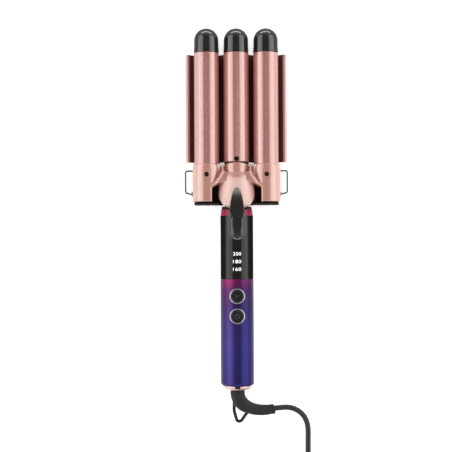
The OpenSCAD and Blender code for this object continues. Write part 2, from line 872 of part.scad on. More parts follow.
module top_collar() {
    slim = 0.5;
    color([0.1, 0.1, 0.1]) difference() {
        union() {
            cone_y(collar_r, collar_r - slim, band_top, collar_top, 0, handle_z);
            rod_y(frame_r, sleeve_top - 1, band_top + 0.5, 0, handle_z);
        }
        box(-tongue_half - seat_gap, tongue_half + seat_gap, -big, big, tongue_z - seat_gap,
            neck_top + seat_gap);
        cup();
    }
}

module magenta_band() {
    color([0.72, 0.18, 0.37]) difference() {
        cone_y(grip_r - sleeve_step, collar_r + 0.1, sleeve_top, band_top, 0, handle_z);
        rod_y(bore_r, sleeve_top - 1, band_top + 1, 0, handle_z);
        cup();
    }
}

module tube_y(r_out, r_in, y0, y1) {
    difference() {
        rod_y(r_out, y0, y1, 0, handle_z);
        rod_y(r_in, y0 - 1, y1 + 1, 0, handle_z);
    }
}

module display_sleeve() {
    color([0.12, 0.12, 0.12]) tube_y(grip_r - sleeve_step, bore_r, grip_top, sleeve_top);
}

module display_block() {
    y1 = sleeve_top - numbers_from_top + number_h / 2 + 1.5;
    y0 = y1 - 2 * number_pitch - number_h - 3;
    half = number_w / 2 + 1;
    top_z = handle_z + sqrt(bore_r * bore_r - half * half) - 0.3;
    color([0.85, 0.85, 0.85]) difference() {
        box(-half, half, y0, y1, board_z, top_z);
        for (i = [0:2]) translate([-number_w / 2, sleeve_top - numbers_from_top - i * number_pitch
            - number_h / 2, board_z + 1.6]) cube([number_w, number_h, big]);
    }
}

button_z = handle_z + grip_r + button_proud;
ring_r = button_r + ring_w;
button_hole = ring_r + run_gap;
upper_y = grip_top - button_from_top;
lower_y = upper_y - button_pitch;
board_t = 1.6;
board_gap = 0.8;
board_z = frame_top_z + board_t;
switch_h = 3.4;
plunger_h = 1.1;
ring_foot = handle_z + sqrt(bore_r * bore_r - ring_r * ring_r) + 0.8;
stem_foot = board_z + switch_h + plunger_h + button_travel + 0.1;
foot_round = 3;
foot_lip = 2;

module grip_shell() {
    foot_r = tail_r + 2 * seat_gap;
    color([0.45, 0.3, 0.62]) difference() {
        turned_y(0, 0, handle_z) difference() {
            union() {
                polygon([[0, grip_foot], [grip_r - foot_round, grip_foot],
                    [grip_r - foot_round, grip_foot + 1], [grip_r, grip_foot + foot_round],
                    [grip_r, grip_top], [0, grip_top]]);
                translate([grip_r - foot_round, grip_foot + foot_round]) circle(foot_round);
            }
            translate([0, grip_foot + foot_lip]) square([bore_r, grip_len]);
            translate([0, grip_foot - 1]) square([foot_r, 5]);
        }
        for (y = [upper_y, lower_y]) rod_z(button_hole, handle_z, big, 0, y);
    }
}

frame_floor_z = handle_z - frame_in;

module handle_frame() {
    tail = 3;
    color([0.25, 0.25, 0.26]) {
        difference() {
            union() {
                difference() {
                    rod_y(frame_r, frame_y0, frame_y1, 0, handle_z);
                    rod_y(frame_in, frame_y0 + tail, frame_y1 + 1, 0, handle_z);
                }
                box(-4, 4, neck_screw_y[1] - 4, neck_screw_y[0] + 4, frame_floor_z - 0.5,
                    tongue_z - 0.05);
            }
            box(-big, big, -big, big, frame_top_z, big);
            for (y = neck_screw_y) rod_z(1.25, frame_floor_z - 0.2, big, 0, y);
            rod_y(cord_r + seat_gap, frame_y0 - 1, frame_y0 + tail + 1, 0, handle_z);
        }
    }
}

module circuit_board() {
    y1 = collar_top - tongue_len - 4;
    y0 = lead_y;
    half = sqrt(bore_r * bore_r - pow(board_z - handle_z, 2)) - board_gap;
    color([0.1, 0.35, 0.2]) box(-half, half, y0, y1, frame_top_z, board_z);
}

lead_in = 25;
lead_y = frame_y0 + lead_in;

module switches() {
    color([0.2, 0.2, 0.22]) for (y = [upper_y, lower_y]) {
        box(-3, 3, y - 3, y + 3, board_z, board_z + switch_h);
        rod_z(1.7, board_z, board_z + switch_h + plunger_h, 0, y);
    }
}

can_r = (bore_r - 6.7) / 2;
choke_edge = bore_r - 5.3;

module power_parts() {
    y = lower_y - 14;
    color([0.3, 0.3, 0.34]) {
        rod_y(can_r, y - 16, y, -4.2, board_z + can_r);
        box(2, choke_edge, y - 14, y - 2, board_z, board_z + 5);
        box(-8, 8, lead_y + 0.5, lead_y + 5.5, board_z, board_z + 3);
    }
}

module button_rings() {
    color([0.85, 0.75, 0.75]) for (y = [upper_y, lower_y]) difference() {
        rod_z(ring_r, ring_foot, button_z - 0.2, 0, y);
        rod_z(button_r + run_gap, ring_foot - 1, button_z + 1, 0, y);
    }
}

module button(y) {
    color([0.1, 0.1, 0.1]) {
        rod_z(button_r, ring_foot - 0.6, button_z, 0, y);
        rod_z(button_r + 0.7, ring_foot - 1.5, ring_foot - 0.3, 0, y);
        rod_z(2, stem_foot, ring_foot, 0, y);
    }
}

module upper_button() { button(upper_y); }

module lower_button() { button(lower_y); }

module tail_ring() {
    y0 = tail_foot;
    color([0.86, 0.62, 0.58]) turned_y(0, 0, handle_z) difference() {
        polygon([[0, y0], [tail_r - 1.6, y0], [tail_r - 0.5, y0 + 0.8], [tail_r, y0 + tail_len - 0.4],
            [tail_r, grip_foot + foot_lip + 0.1], [frame_r, grip_foot + foot_lip + 0.1],
            [frame_r, grip_foot + foot_lip + 2], [0, grip_foot + foot_lip + 2]]);
        translate([0, y0 - 1]) square([boot_r + 0.1, tail_len + 20]);
    }
}

clamp_y = frame_y0 + 8;

module cord_clamp() {
    half = 6;
    color([0.2, 0.2, 0.2]) difference() {
        box(-half, half, clamp_y, clamp_y + 7, handle_z - sqrt(frame_in * frame_in - half * half) + 0.05,
            handle_z + 3);
        rod_y(cord_r, clamp_y - 1, clamp_y + 8, 0, handle_z);
    }
}

module inner_lead() {
    color([0.1, 0.1, 0.1]) {
        rod_y(cord_r - 0.02, grip_foot + foot_lip + 2 + boot_flange, lead_y - 6, 0, handle_z);
        both_sides() {
            rod_y(0.9, lead_y - 7, lead_y + 4, 1.5, handle_z);
            rod_z(0.9, handle_z, frame_top_z, 1.5, lead_y + 4);
        }
    }
}

// Cord boot, cord and plug

boot_flange = 2;

// The boot's middle line, measured from the middle of the tail ring's end, and its radius as a share of
// the root's
boot_line = [[0, 0, 0], [0.6, -7, -0.2], [4.4, -13.6, -1.2], [13.6, -18.8, -4.3], [25, -21, -7.7],
    [33.8, -20.8, -9.9]];
boot_taper = [1, 0.99, 0.97, 0.82, 0.74, 0.66];
bead_way = [2.6, 0.5, -0.6];
boot_end = [0, tail_foot, handle_z] + boot_line[len(boot_line) - 1] + bead_way;
bead = 0.7;

module cord_boot() {
    origin = [0, tail_foot, handle_z];
    steps = 3;
    seat = origin + [0, tail_len + foot_lip + 2, 0];
    last = origin + boot_line[len(boot_line) - 1];
    line = concat([seat + [0, boot_flange, 0], seat + [0, 0.02, 0], seat], [for (p = smooth(boot_line, steps))
        origin + p], [last + 0.02 * unit(boot_end - last), boot_end]);
    taper = [for (t = smooth(boot_taper, steps)) boot_r * t];
    color([0.18, 0.18, 0.19])
        swept(line, concat([boot_r + 2, boot_r + 2, boot_r], taper, [boot_r * bead, boot_r * bead]), 20);
}

// The strand that the curler hangs by, in a plane that leans down a little towards the table
loop_line = [[-3.4, -8], [-3.4, -23], [-0.32, -33.56], [3.52, -32.44], [12.52, -20.44]];
loop_bends = [2.1, 2.4, 2.4];
loop_slope = 7 / 25;

module hang_loop() {
    color([0.18, 0.18, 0.19]) translate([0, tail_foot, handle_z - 1]) rotate([asin(loop_slope), 0, 0])
        bent_wire(loop_line, loop_bends, loop_r);
}

// The free cord between the boot and the coil
cord_gap = 0.15;
run_line = concat([boot_end + cord_gap * unit([11, 0.7, -1.6])], [[43, -200.3, 4.8], [49.6, -200, 3.9],
    [57.4, -201.7, 3.2], [64.6, -206.4, 2.9], [69.3, -213.6, 2.75], [71, -222, 2.75], [71, -232, 2.75],
    [71, -244, 2.8], [71, -256, 3.1], [71, -266, 3.5], [71, -276, 3.7], [71, -284.6, 3.7]]);

module cord_run() {
    color([0.1, 0.1, 0.1]) swept(run_line, [for (p = run_line) cord_r], 10);
}

coil_x = 71 - coil_r - coil_step * coil_turns / coil_layers / 2;
coil_y = -290;
coil_z = 3.7;
loop_rings = 24;
layer_turns = coil_turns / coil_layers;
coil_half = coil_step * layer_turns / 2;

function layer_of(turn) = floor(turn / layer_turns + 0.5);

// Height of a layer, climbed in the half turn round each place where the spiral reverses
function climb(turn) = let (n = layer_of(turn), d = turn - n * layer_turns, t = max(0, min(1, 2 * d + 0.5)))
    n < 1 || n > coil_layers - 1 ? (n < 1 ? 0 : coil_layers - 1) : n - 1 + t * t * (3 - 2 * t);

function spiral(turn) = let (w = turn / layer_turns, f = w - 2 * floor(w / 2))
    coil_r + coil_half * (f < 1 ? 1 - 2 * f : 2 * f - 3);

function coil_point(turn) = let (r = spiral(turn), a = -360 * turn)
    [coil_x + r * cos(a), coil_y + r * sin(a), coil_z + coil_step * climb(turn)];

coil_end = coil_point(coil_turns);
coil_line = concat([[71, coil_y + 2 * cord_r, coil_z]],
    [for (i = [0:coil_turns * loop_rings]) coil_point(i / loop_rings)],
    [coil_end + [-2 * cord_r, 0, 0]]);

// Least distance between the middle lines of neighbouring turns, on the rings' own points
coil_near = min([for (i = [0:loop_rings * (coil_turns - 1)]) for (k = [-4:4])
    norm(coil_point(i / loop_rings) - coil_point((i + loop_rings + k) / loop_rings))]);
echo(coil_gap = coil_near - 2 * cord_r);

module cord_coil() {
    color([0.1, 0.1, 0.1]) swept(coil_line, [for (p = coil_line) cord_r], 6);
}

module cord_tie() {
    in_x = coil_r - coil_half - cord_r - 0.8;
    out_x = coil_r + coil_half + cord_r + 0.8;
    top_z = coil_z + (coil_layers - 1) * coil_step + cord_r + 0.3;
    color([0.16, 0.16, 0.17]) translate([coil_x, coil_y, 0]) difference() {
        box(-out_x - tie_t, -in_x + tie_t, -tie_w / 2, tie_w / 2, 0, top_z + tie_t);
        box(-out_x, -in_x, -tie_w, tie_w, coil_z - cord_r - 0.3, top_z);
    }
}

plug_axis = plug_t / 2;
plug_back = -22;
plug_neck = 12;
plug_front = plug_back - plug_neck - plug_len;
tail_line = [[27, 0, 21.4], [21, 0, 20.9], [14, 0, 18.9], [7, 0, 15.6], [0, 0, 12], [-7, 0, 8.9],
    [-13, 0, 7.2], [-18, 0, 6.85], [-22, 0, 6.85]];

module cord_tail() {
    start = coil_end + [-2 * cord_r - cord_gap, 0, 0];
    line = concat([start], [for (i = [1:len(tail_line) - 1])
        [tail_line[i].x, start.y, i > 6 ? plug_axis : tail_line[i].z]]);
    color([0.1, 0.1, 0.1]) swept(line, [for (p = line) cord_r], 8);
}

module plug_body() {
    y = coil_end.y;
    half = plug_w / 2;
    color([0.1, 0.1, 0.1]) translate([0, y, 0]) {
        translate([plug_back, 0, plug_axis]) rotate([0, -90, 0])
            cylinder(r1 = cord_r + 1.2, r2 = cord_r + 2.8, h = plug_neck + 1);
        intersection() {
            linear_extrude(plug_t) polygon([[plug_back - plug_neck, -7],
                [plug_back - plug_neck - 9, -half + 2], [plug_back - plug_neck - 12, -half],
                [plug_front, -half], [plug_front, half],
                [plug_back - plug_neck - 12, half], [plug_back - plug_neck - 9, half - 2],
                [plug_back - plug_neck, 7]]);
            prism_x(plug_front - 1, plug_back) union() {
                translate([0, plug_axis]) square([plug_w - plug_t, plug_t], center = true);
                for (side = [-1, 1]) translate([side * (half - plug_t / 2), plug_axis])
                    circle(plug_t / 2);
            }
        }
    }
}

module plug_pins() {
    tip_l = 3;
    color([0.8, 0.75, 0.6]) for (side = [-1, 1])
        translate([plug_front, coil_end.y + side * plug_pin_pitch / 2, plug_axis]) rotate([0, -90, 0]) {
            cylinder(r = plug_pin_r, h = plug_pin_len - tip_l / 2);
            translate([0, 0, plug_pin_len - tip_l / 2])
                cylinder(r1 = plug_pin_r, r2 = plug_pin_r - 0.7, h = tip_l / 2);
        }
}

head_base();
neck_core();
base_screws();
wave_plate();
plate_screws();
middle_barrel();
middle_tip();
middle_carrier();
middle_ceramic();
thermal_fuse();
middle_screw();
hinge_pin();
clamp_spring();
clamp_housing();
left_seat();
right_seat();
left_barrel();
right_barrel();
left_tip();
right_tip();
left_carrier();
right_carrier();
left_ceramic();
right_ceramic();
sleeve_screws();
thumb_lever();
lever_screws();
stand_wire();
top_collar();
magenta_band();
display_sleeve();
display_block();
grip_shell();
handle_frame();
neck_screws();
circuit_board();
switches();
power_parts();
button_rings();
upper_button();
lower_button();
tail_ring();
cord_clamp();
inner_lead();
cord_boot();
hang_loop();
cord_run();
cord_coil();
cord_tie();
cord_tail();
plug_body();
plug_pins();
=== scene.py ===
# %% [markdown]
# # A three-barrel hair waver, dressed for its photograph
# The real object lies on its back on a white table: three rose-gold barrels over a formed pink
# plate, a moulded clamp with a black thumb lever, a wire stand, and a round handle with lit
# numbers, two buttons and a gradient from magenta to blue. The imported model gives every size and
# place, so this notebook only makes the looks. Its pieces are built the way they would be built by
# hand in Blender: a small start, shaped in edit mode, finished with applied modifiers.

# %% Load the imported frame
import json
import math

import bpy
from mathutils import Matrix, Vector


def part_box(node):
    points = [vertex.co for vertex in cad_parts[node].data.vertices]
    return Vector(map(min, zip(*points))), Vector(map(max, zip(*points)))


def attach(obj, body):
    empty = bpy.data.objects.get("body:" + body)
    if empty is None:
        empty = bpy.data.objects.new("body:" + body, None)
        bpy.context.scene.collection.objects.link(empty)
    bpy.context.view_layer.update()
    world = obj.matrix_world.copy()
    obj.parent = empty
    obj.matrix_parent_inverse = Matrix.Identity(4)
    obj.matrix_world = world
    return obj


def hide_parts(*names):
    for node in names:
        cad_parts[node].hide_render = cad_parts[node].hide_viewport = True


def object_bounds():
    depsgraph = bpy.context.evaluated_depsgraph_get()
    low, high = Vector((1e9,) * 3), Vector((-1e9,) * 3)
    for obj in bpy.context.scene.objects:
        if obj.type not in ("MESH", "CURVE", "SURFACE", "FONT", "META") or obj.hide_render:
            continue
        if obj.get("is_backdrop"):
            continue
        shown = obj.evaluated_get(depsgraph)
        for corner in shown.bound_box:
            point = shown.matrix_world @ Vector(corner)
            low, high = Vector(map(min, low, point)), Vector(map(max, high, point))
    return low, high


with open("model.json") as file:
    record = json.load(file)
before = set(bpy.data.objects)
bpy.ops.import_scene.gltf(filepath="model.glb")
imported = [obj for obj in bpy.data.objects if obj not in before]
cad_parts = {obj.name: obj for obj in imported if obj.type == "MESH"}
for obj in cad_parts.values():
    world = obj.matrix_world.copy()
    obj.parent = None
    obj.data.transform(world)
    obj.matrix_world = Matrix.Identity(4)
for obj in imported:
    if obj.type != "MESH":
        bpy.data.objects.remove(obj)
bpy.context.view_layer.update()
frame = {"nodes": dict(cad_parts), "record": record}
nodes = frame["nodes"]

# %% [markdown]
# ## Camera
# The photograph looks straight down at the waver from far away: both ends of the barrels are round
# and no side wall shows. A pixel is one millimetre at the height of the handle's axis, and the
# object leans a quarter of a degree to the left. So the camera hangs 1.2 m above that height with
# a long lens, turned by the same small angle. Moving it nearer would spread the barrels apart.

# %% Hang the camera
lens_height, lean_back, turn = 1.2, 0.02, -0.0048
camera = bpy.data.objects.new("photo_camera", bpy.data.cameras.new("photo_camera"))
bpy.context.scene.collection.objects.link(camera)
camera.data.sensor_width, camera.data.lens = 36, 95.6
camera.location = (-0.0109, -0.0174 - lens_height * math.tan(lean_back), 0.0165 + lens_height)
camera.rotation_euler = (lean_back, 0, turn)
bpy.context.scene.camera = camera
bpy.context.scene.view_settings.view_transform = "Standard"
print("camera at", tuple(round(v, 4) for v in camera.location))

# %% [markdown]
# ## The cord's route
# The photograph cuts the cord off a few centimetres from the boot. The rest of it is put away as a
# neat coil just outside the picture. A cord is best made as one curve with a round section: the
# curve keeps its real length, and the section never flattens in a bend. The points are those of
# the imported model's route, so the visible cord lies exactly where the solid one does.

# %% Helpers: millimetres, boxes and arcs
def mm(*values):
    """Millimetres as metres."""
    return tuple(v / 1000 for v in values)


def span(name):
    """A node's lowest and highest corner, in millimetres."""
    low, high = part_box(name)
    return low * 1000, high * 1000


def arc(cx, cy, rx, ry, angles):
    """Points on an ellipse: its centre, its two radii, and angles in degrees."""
    return [(cx + rx * math.cos(math.radians(a)), cy + ry * math.sin(math.radians(a)))
            for a in angles]


print("barrel box:", [round(v, 2) for v in span("middle_barrel")[1]])

# %% Helper: a smooth wire through points
def wire(name, points, radius, widths=None, steps=4, sides=5):
    """A round wire along points in millimetres, with its radius at each point as a share."""
    data = bpy.data.curves.new(name, "CURVE")
    data.dimensions = "3D"
    data.resolution_u = data.render_resolution_u = steps
    data.bevel_depth, data.bevel_resolution, data.use_fill_caps = 1, sides, True
    line = data.splines.new("BEZIER")
    line.bezier_points.add(len(points) - 1)
    for knot, point, width in zip(line.bezier_points, points, widths or [1] * len(points)):
        knot.co = mm(*point)
        knot.handle_left_type = knot.handle_right_type = "AUTO"
        knot.radius = radius / 1000 * width
    piece = bpy.data.objects.new(name, data)
    bpy.context.scene.collection.objects.link(piece)
    return piece


# %% Lay the cord
cord_r, coil_r, coil_step, coil_layers, coil_turns = 2.7, 32.4, 5.9, 4, 8.25
layer_turns = coil_turns / coil_layers
coil_half = coil_step * layer_turns / 2
run_x, lowest = 71, 3.7
coil_mid = Vector((run_x - coil_r - coil_half, -290, lowest))


def coil_point(turn):
    """Where the coil is after so many turns: it spirals in and out and climbs each layer."""
    layer = math.floor(turn / layer_turns + 0.5)
    t = max(0, min(1, 2 * (turn - layer * layer_turns) + 0.5))
    climb = min(max(layer - 1, 0) + t * t * (3 - 2 * t) * (1 <= layer < coil_layers),
                coil_layers - 1)
    w = turn / layer_turns
    fold = w - 2 * math.floor(w / 2)
    r = coil_r + coil_half * (1 - 2 * fold if fold < 1 else 2 * fold - 3)
    a = -2 * math.pi * turn
    return coil_mid + Vector((r * math.cos(a), r * math.sin(a), coil_step * climb))


boot_end = Vector((36.4, -200.7, 6.0))
run = [tuple(boot_end + 0.15 * Vector((11, 0.7, -1.6)).normalized()),
       (43, -200.3, 4.8), (49.6, -200, 3.9), (57.4, -201.7, 3.2), (64.6, -206.4, 2.9),
       (69.3, -213.6, 2.75)]
run += [(run_x, y, z) for y, z in
        [(-222, 2.75), (-232, 2.75), (-244, 2.8), (-256, 3.1), (-266, 3.5), (-276, lowest),
         (-284.6, lowest)]]
turns = [tuple(coil_point(i / 24)) for i in range(int(coil_turns * 24) + 1)]
tail = [(x, turns[-1][1], z) for x, z in
        [(27, 21.4), (21, 20.9), (14, 18.9), (7, 15.6), (0, 12), (-7, 8.9), (-13, 7.2), (-18, 6.85),
         (-22, 6.85)]]
cord = wire("cord", run + turns + tail, cord_r, steps=2)
print("cord points:", len(cord.data.splines[0].bezier_points))

# %% [markdown]
# ## Floor, air and lamps
# The photograph was taken in a white studio. A wide pale floor is enough for that. Its paint is
# made brighter only for rays that come from the camera or from a gloss, so it shows white and is
# mirrored white, and it still keeps the object's soft shadow. From below it lets the view through.

# %% Helpers: materials and their nodes
def material(name):
    """A new material, its node tree and its Principled shader."""
    made = bpy.data.materials.new(name)
    made.use_nodes = True
    return made, made.node_tree, made.node_tree.nodes["Principled BSDF"]


def put(node, **values):
    """Set a node's properties and sockets by their names, with _ for a space."""
    for key, value in values.items():
        if hasattr(node, key):
            setattr(node, key, value)
        else:
            node.inputs[key.replace("_", " ")].default_value = value
    return node


def add(tree, kind, **values):
    """A new shader node of a kind, with these properties and sockets."""
    return put(tree.nodes.new("ShaderNode" + kind), **values)


def reckon(tree, operation, *values, kind="Math"):
    """A math node. A value of None leaves its socket free for a link."""
    node = add(tree, kind, operation=operation)
    for socket, value in zip(node.inputs, values):
        if value is not None:
            socket.default_value = value
    return node


def link(tree, *rows):
    """Links, each from a node and its output to a node and its input."""
    for source, output, target, socket in rows:
        tree.links.new(source.outputs[output], target.inputs[socket])


def seen_directly(tree):
    """1 for a ray from the camera, a mirror or a glass, 0 for the light that falls on things."""
    path, first, both = add(tree, "LightPath"), reckon(tree, "MAXIMUM"), reckon(tree, "MAXIMUM")
    link(tree, (path, "Is Camera Ray", first, 0), (path, "Is Glossy Ray", first, 1),
         (first, 0, both, 0), (path, "Is Transmission Ray", both, 1))
    return both


# %% Helper: start a piece, and lay the floor
def begun(operator, name, **values):
    """A new object from one of Blender's add operators, under a name."""
    bpy.ops.object.select_all(action="DESELECT")
    operator(**values)
    piece = bpy.context.object
    piece.name = piece.data.name = name
    return piece


floor = begun(bpy.ops.mesh.primitive_plane_add, "studio_floor", size=9, location=mm(0, 0, -0.2))
floor_glow = 0.62  # what the paint gives off by itself, so that it shows white
floor_paint, tree, shader = material("floor_paint")
put(shader, Base_Color=(0.86, 0.86, 0.86, 1), Roughness=0.9, Specular_IOR_Level=0,
    Emission_Color=(1, 1, 1, 1))
glow = reckon(tree, "MULTIPLY", None, floor_glow)
clear, mix, sides = (add(tree, k) for k in ("BsdfTransparent", "MixShader", "NewGeometry"))
link(tree, (seen_directly(tree), 0, glow, 0), (glow, 0, shader, "Emission Strength"),
     (sides, "Backfacing", mix, 0), (shader, 0, mix, 1), (clear, 0, mix, 2),
     (mix, 0, tree.nodes["Material Output"], 0))
floor.data.materials.append(floor_paint)
floor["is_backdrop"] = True
print("floor:", floor.name)

# %% [markdown]
# The bright double stripes along every barrel and along the black sleeve come from two long
# softboxes, one on each side, and the dark line between them is the unlit ceiling. So the air is
# pale near the horizon and dim overhead, and two large area lamps hang beside the object, slightly
# warm, as the stripes in the photograph are. A low one stands beyond the tips and makes the bright
# crescents on them, and a soft one over the cord's end of the table lightens the round underside
# of the dome.

# %% Air and lamps
world = bpy.data.worlds.new("studio_air")
bpy.context.scene.world = world
world.use_nodes = True
tree = world.node_tree
horizon, overhead, fill = 0.95, 0.1, 0.3
air = put(tree.nodes["Background"], Color=(1, 1, 1, 1))
where, parts, level = add(tree, "TexCoord"), add(tree, "SeparateXYZ"), add(tree, "Mix", A=fill)
rise = add(tree, "MapRange", From_Min=0.2, From_Max=0.75, To_Min=horizon, To_Max=overhead)
link(tree, (where, "Generated", parts, 0), (parts, "Z", rise, "Value"),
     (seen_directly(tree), 0, level, "Factor"), (rise, "Result", level, "B"),
     (level, "Result", air, "Strength"))


def softbox(name, place, target, across, high, radiance, tint=(1, 1, 1)):
    """A rectangular lamp at a place, turned to a target, so wide and so high, in metres."""
    lamp = bpy.data.lights.new(name, "AREA")
    lamp.shape, lamp.size, lamp.size_y = "RECTANGLE", across, high
    lamp.energy, lamp.color = radiance * math.pi * across * high, tint
    piece = bpy.data.objects.new(name, lamp)
    bpy.context.scene.collection.objects.link(piece)
    piece.location = place
    piece.rotation_euler = (Vector(target) - Vector(place)).to_track_quat("-Z", "Y").to_euler()
    return piece


side_level, slightly_warm = 1.72, (1, 0.985, 0.94)
for name, x in (("left_softbox", -0.912), ("right_softbox", 0.912)):
    softbox(name, (x, 0, 0.615), (0, 0, 0), 2.2, 1.0, side_level, slightly_warm)
tip_softbox = softbox("tip_softbox", (0, 1.2, 0.1), (0, 0.17, 0.02), 1.4, 0.2, 15)
softbox("handle_softbox", (0, -0.95, 0.75), (0, 0, 0), 0.9, 0.5, 1.0)

# %% [markdown]
# ## Shared finish effects
# Four effects come back on many of the finishes: the fine grain of a mould, the faint marks of
# handling, worn edges, and the long lines that a drawn tube keeps. Each is a node group, built once
# and given its own values where it is used. A group only puts out masks and heights. The shader
# itself stays in the material.

# %% Effect: mould grain
def effect(name, inputs, outputs):
    """An empty node group with number inputs and outputs, its input node and its output node."""
    group = bpy.data.node_groups.new(name, "ShaderNodeTree")
    for label, value in inputs.items():
        group.interface.new_socket(
            label, in_out="INPUT", socket_type="NodeSocketFloat").default_value = value
    for label in outputs:
        group.interface.new_socket(label, in_out="OUTPUT", socket_type="NodeSocketFloat")
    return group, group.nodes.new("NodeGroupInput"), group.nodes.new("NodeGroupOutput")


mould_grain, taken, given = effect("mould_grain", {"Scale": 900, "Mix": 0.5}, ["Height", "Rough"])
place, fine = add(mould_grain, "TexCoord"), add(mould_grain, "TexNoise", Detail=3)
coarse, blend = add(mould_grain, "TexVoronoi"), add(mould_grain, "Mix")
link(mould_grain, (place, "Object", fine, "Vector"), (place, "Object", coarse, "Vector"),
     (taken, "Scale", fine, "Scale"), (taken, "Scale", coarse, "Scale"),
     (taken, "Mix", blend, "Factor"), (fine, "Fac", blend, "A"), (coarse, "Distance", blend, "B"),
     (blend, "Result", given, "Height"), (fine, "Fac", given, "Rough"))
print("effect:", mould_grain.name)

# %% Effect: handling marks
handling, taken, given = effect("handling_marks", {"Scale": 30, "Amount": 1}, ["Mask"])
place, cloud = add(handling, "TexCoord"), add(handling, "TexNoise", Detail=6, Roughness=0.6)
keep, much = add(handling, "MapRange", From_Min=0.42, From_Max=0.68), reckon(handling, "MULTIPLY")
link(handling, (place, "Object", cloud, "Vector"), (taken, "Scale", cloud, "Scale"),
     (cloud, "Fac", keep, "Value"), (keep, "Result", much, 0), (taken, "Amount", much, 1),
     (much, 0, given, "Mask"))
print("effect:", handling.name)

# %% Effect: worn edges
worn, taken, given = effect("worn_edges", {"Start": 0.53, "Break up": 260}, ["Mask"])
place, sharp, speck = add(worn, "TexCoord"), add(worn, "NewGeometry"), add(worn, "TexNoise")
ramp, broken = add(worn, "MapRange", From_Max=0.66), reckon(worn, "MULTIPLY")
link(worn, (place, "Object", speck, "Vector"), (taken, "Break up", speck, "Scale"),
     (sharp, "Pointiness", ramp, "Value"), (taken, "Start", ramp, "From Min"),
     (ramp, "Result", broken, 0), (speck, "Fac", broken, 1), (broken, 0, given, "Mask"))
print("effect:", worn.name)

# %% Effect: drawn lines
drawn, taken, given = effect("drawn_lines", {"Across": 1400, "Along": 12}, ["Height"])
place, many = add(drawn, "TexCoord"), add(drawn, "CombineXYZ")
stretch = reckon(drawn, "MULTIPLY", kind="VectorMath")
line = add(drawn, "TexNoise", Scale=1, Detail=2)
link(drawn, (taken, "Across", many, "X"), (taken, "Along", many, "Y"), (taken, "Across", many, "Z"),
     (place, "Object", stretch, 0), (many, "Vector", stretch, 1),
     (stretch, "Vector", line, "Vector"), (line, "Fac", given, "Height"))
print("effect:", drawn.name)

# %% [markdown]
# ## Finishes
# A real finish is never one flat number. Each one here starts from the colour that the photograph
# shows, is a little darker or duller where hands and dust have been, catches a worn edge, and has a
# fine height of its own. The glossy ones carry a clear coat that is strongest where the surface
# faces the eye and fades at its rim, which keeps the rims of the dark parts dark, as in the photo.

# %% Helpers: colours, mixes and bands
def rgb(r, g, b):
    """A colour as a picture shows it, 0 to 255, as the linear values that a shader takes."""
    return tuple((c / 12.92 if c <= 0.04045 else ((c + 0.055) / 1.055) ** 2.4)
                 for c in (r / 255, g / 255, b / 255)) + (1,)


def mixed(tree, factor, a, b, blend="MIX"):
    """Two colours mixed. Each of the three may be a value or another node's output."""
    node = add(tree, "Mix", data_type="RGBA", blend_type=blend)
    for name, given in (("Factor", factor), ("A", a), ("B", b)):
        if isinstance(given, bpy.types.NodeSocket):
            tree.links.new(given, node.inputs[name])
        else:
            node.inputs[name].default_value = given
    return node.outputs["Result"]


def banded(tree, split, axis, stops):
    """Colours that change along an axis, from stops of a place in millimetres and a colour."""
    low, high = stops[0][0], stops[-1][0]
    along = add(tree, "MapRange", From_Min=low / 1000, From_Max=high / 1000)
    bands = add(tree, "ValToRGB")
    for i, (place, colour) in enumerate(stops):
        at = (place - low) / (high - low)
        stop = bands.color_ramp.elements[i] if i < 2 else bands.color_ramp.elements.new(at)
        stop.position, stop.color = at, colour
    link(tree, (split, axis, along, "Value"), (along, "Result", bands, "Fac"))
    return bands.outputs["Color"]


# %% Helper: one finish
def finish(name, colour, dull, rough, metal, shine, grain, edge, marks, coat=None, lines=None,
           ramp=None, across=None):
    """A finish: a colour, its duller tone, least and most roughness, and the effects it carries.

    grain is a scale, a mix and a height in micrometres, marks a scale and an amount, and coat the
    weight at the front and at the rim, the IOR, the roughness and where the fade starts and ends.
    A ramp gives colours along Y in place of the one colour; on the lever it paints a highlight.
    across gives colours from left to right, which on the grip paint shade on its two sides."""
    made, tree, shader = material(name)
    put(shader, Metallic=metal, Specular_IOR_Level=shine)
    hands = add(tree, "Group", node_tree=handling, Scale=marks[0], Amount=marks[1])
    if ramp:
        place, split = add(tree, "TexCoord"), add(tree, "SeparateXYZ")
        link(tree, (place, "Object", split, 0))
        shown = banded(tree, split, "Y", [(y, rgb(*c)) for y, c in ramp])
        if across:
            painted_side_shade = banded(tree, split, "X", [(x, (*c, 1)) for x, c in across])
            shown = mixed(tree, 1, shown, painted_side_shade, "MULTIPLY")
        darker = mixed(tree, 1, shown, (*[d / 255 for d in dull], 1), "MULTIPLY")
    else:
        shown, darker = rgb(*colour), rgb(*dull)
    shown = mixed(tree, hands.outputs["Mask"], shown, darker)
    if edge:
        wear = add(tree, "Group", node_tree=worn)
        shown = mixed(tree, wear.outputs["Mask"], shown, rgb(*edge))
    tree.links.new(shown, shader.inputs["Base Color"])
    mould = add(tree, "Group", node_tree=mould_grain, Scale=grain[0], Mix=grain[1])
    polish = add(tree, "MapRange", To_Min=rough[0], To_Max=rough[1])
    duller = reckon(tree, "MULTIPLY_ADD", None, 0.12)
    bump = add(tree, "Bump", Distance=grain[2] / 1e6)
    relief = mould
    if lines:
        relief = add(tree, "Group", node_tree=drawn, Across=lines[0], Along=lines[1])
    link(tree, (mould, "Rough", polish, "Value"), (hands, "Mask", duller, 0),
         (polish, "Result", duller, 2), (duller, 0, shader, "Roughness"),
         (relief, "Height", bump, "Height"), (bump, "Normal", shader, "Normal"))
    if coat:
        front, rim, ior, gloss, start, end = coat
        put(shader, Coat_IOR=ior, Coat_Roughness=gloss)
        facing = add(tree, "LayerWeight", Blend=0.5)
        fade = add(tree, "MapRange", From_Min=start, From_Max=end, To_Min=front, To_Max=rim)
        link(tree, (facing, "Facing", fade, "Value"), (fade, "Result", shader, "Coat Weight"))
    return made


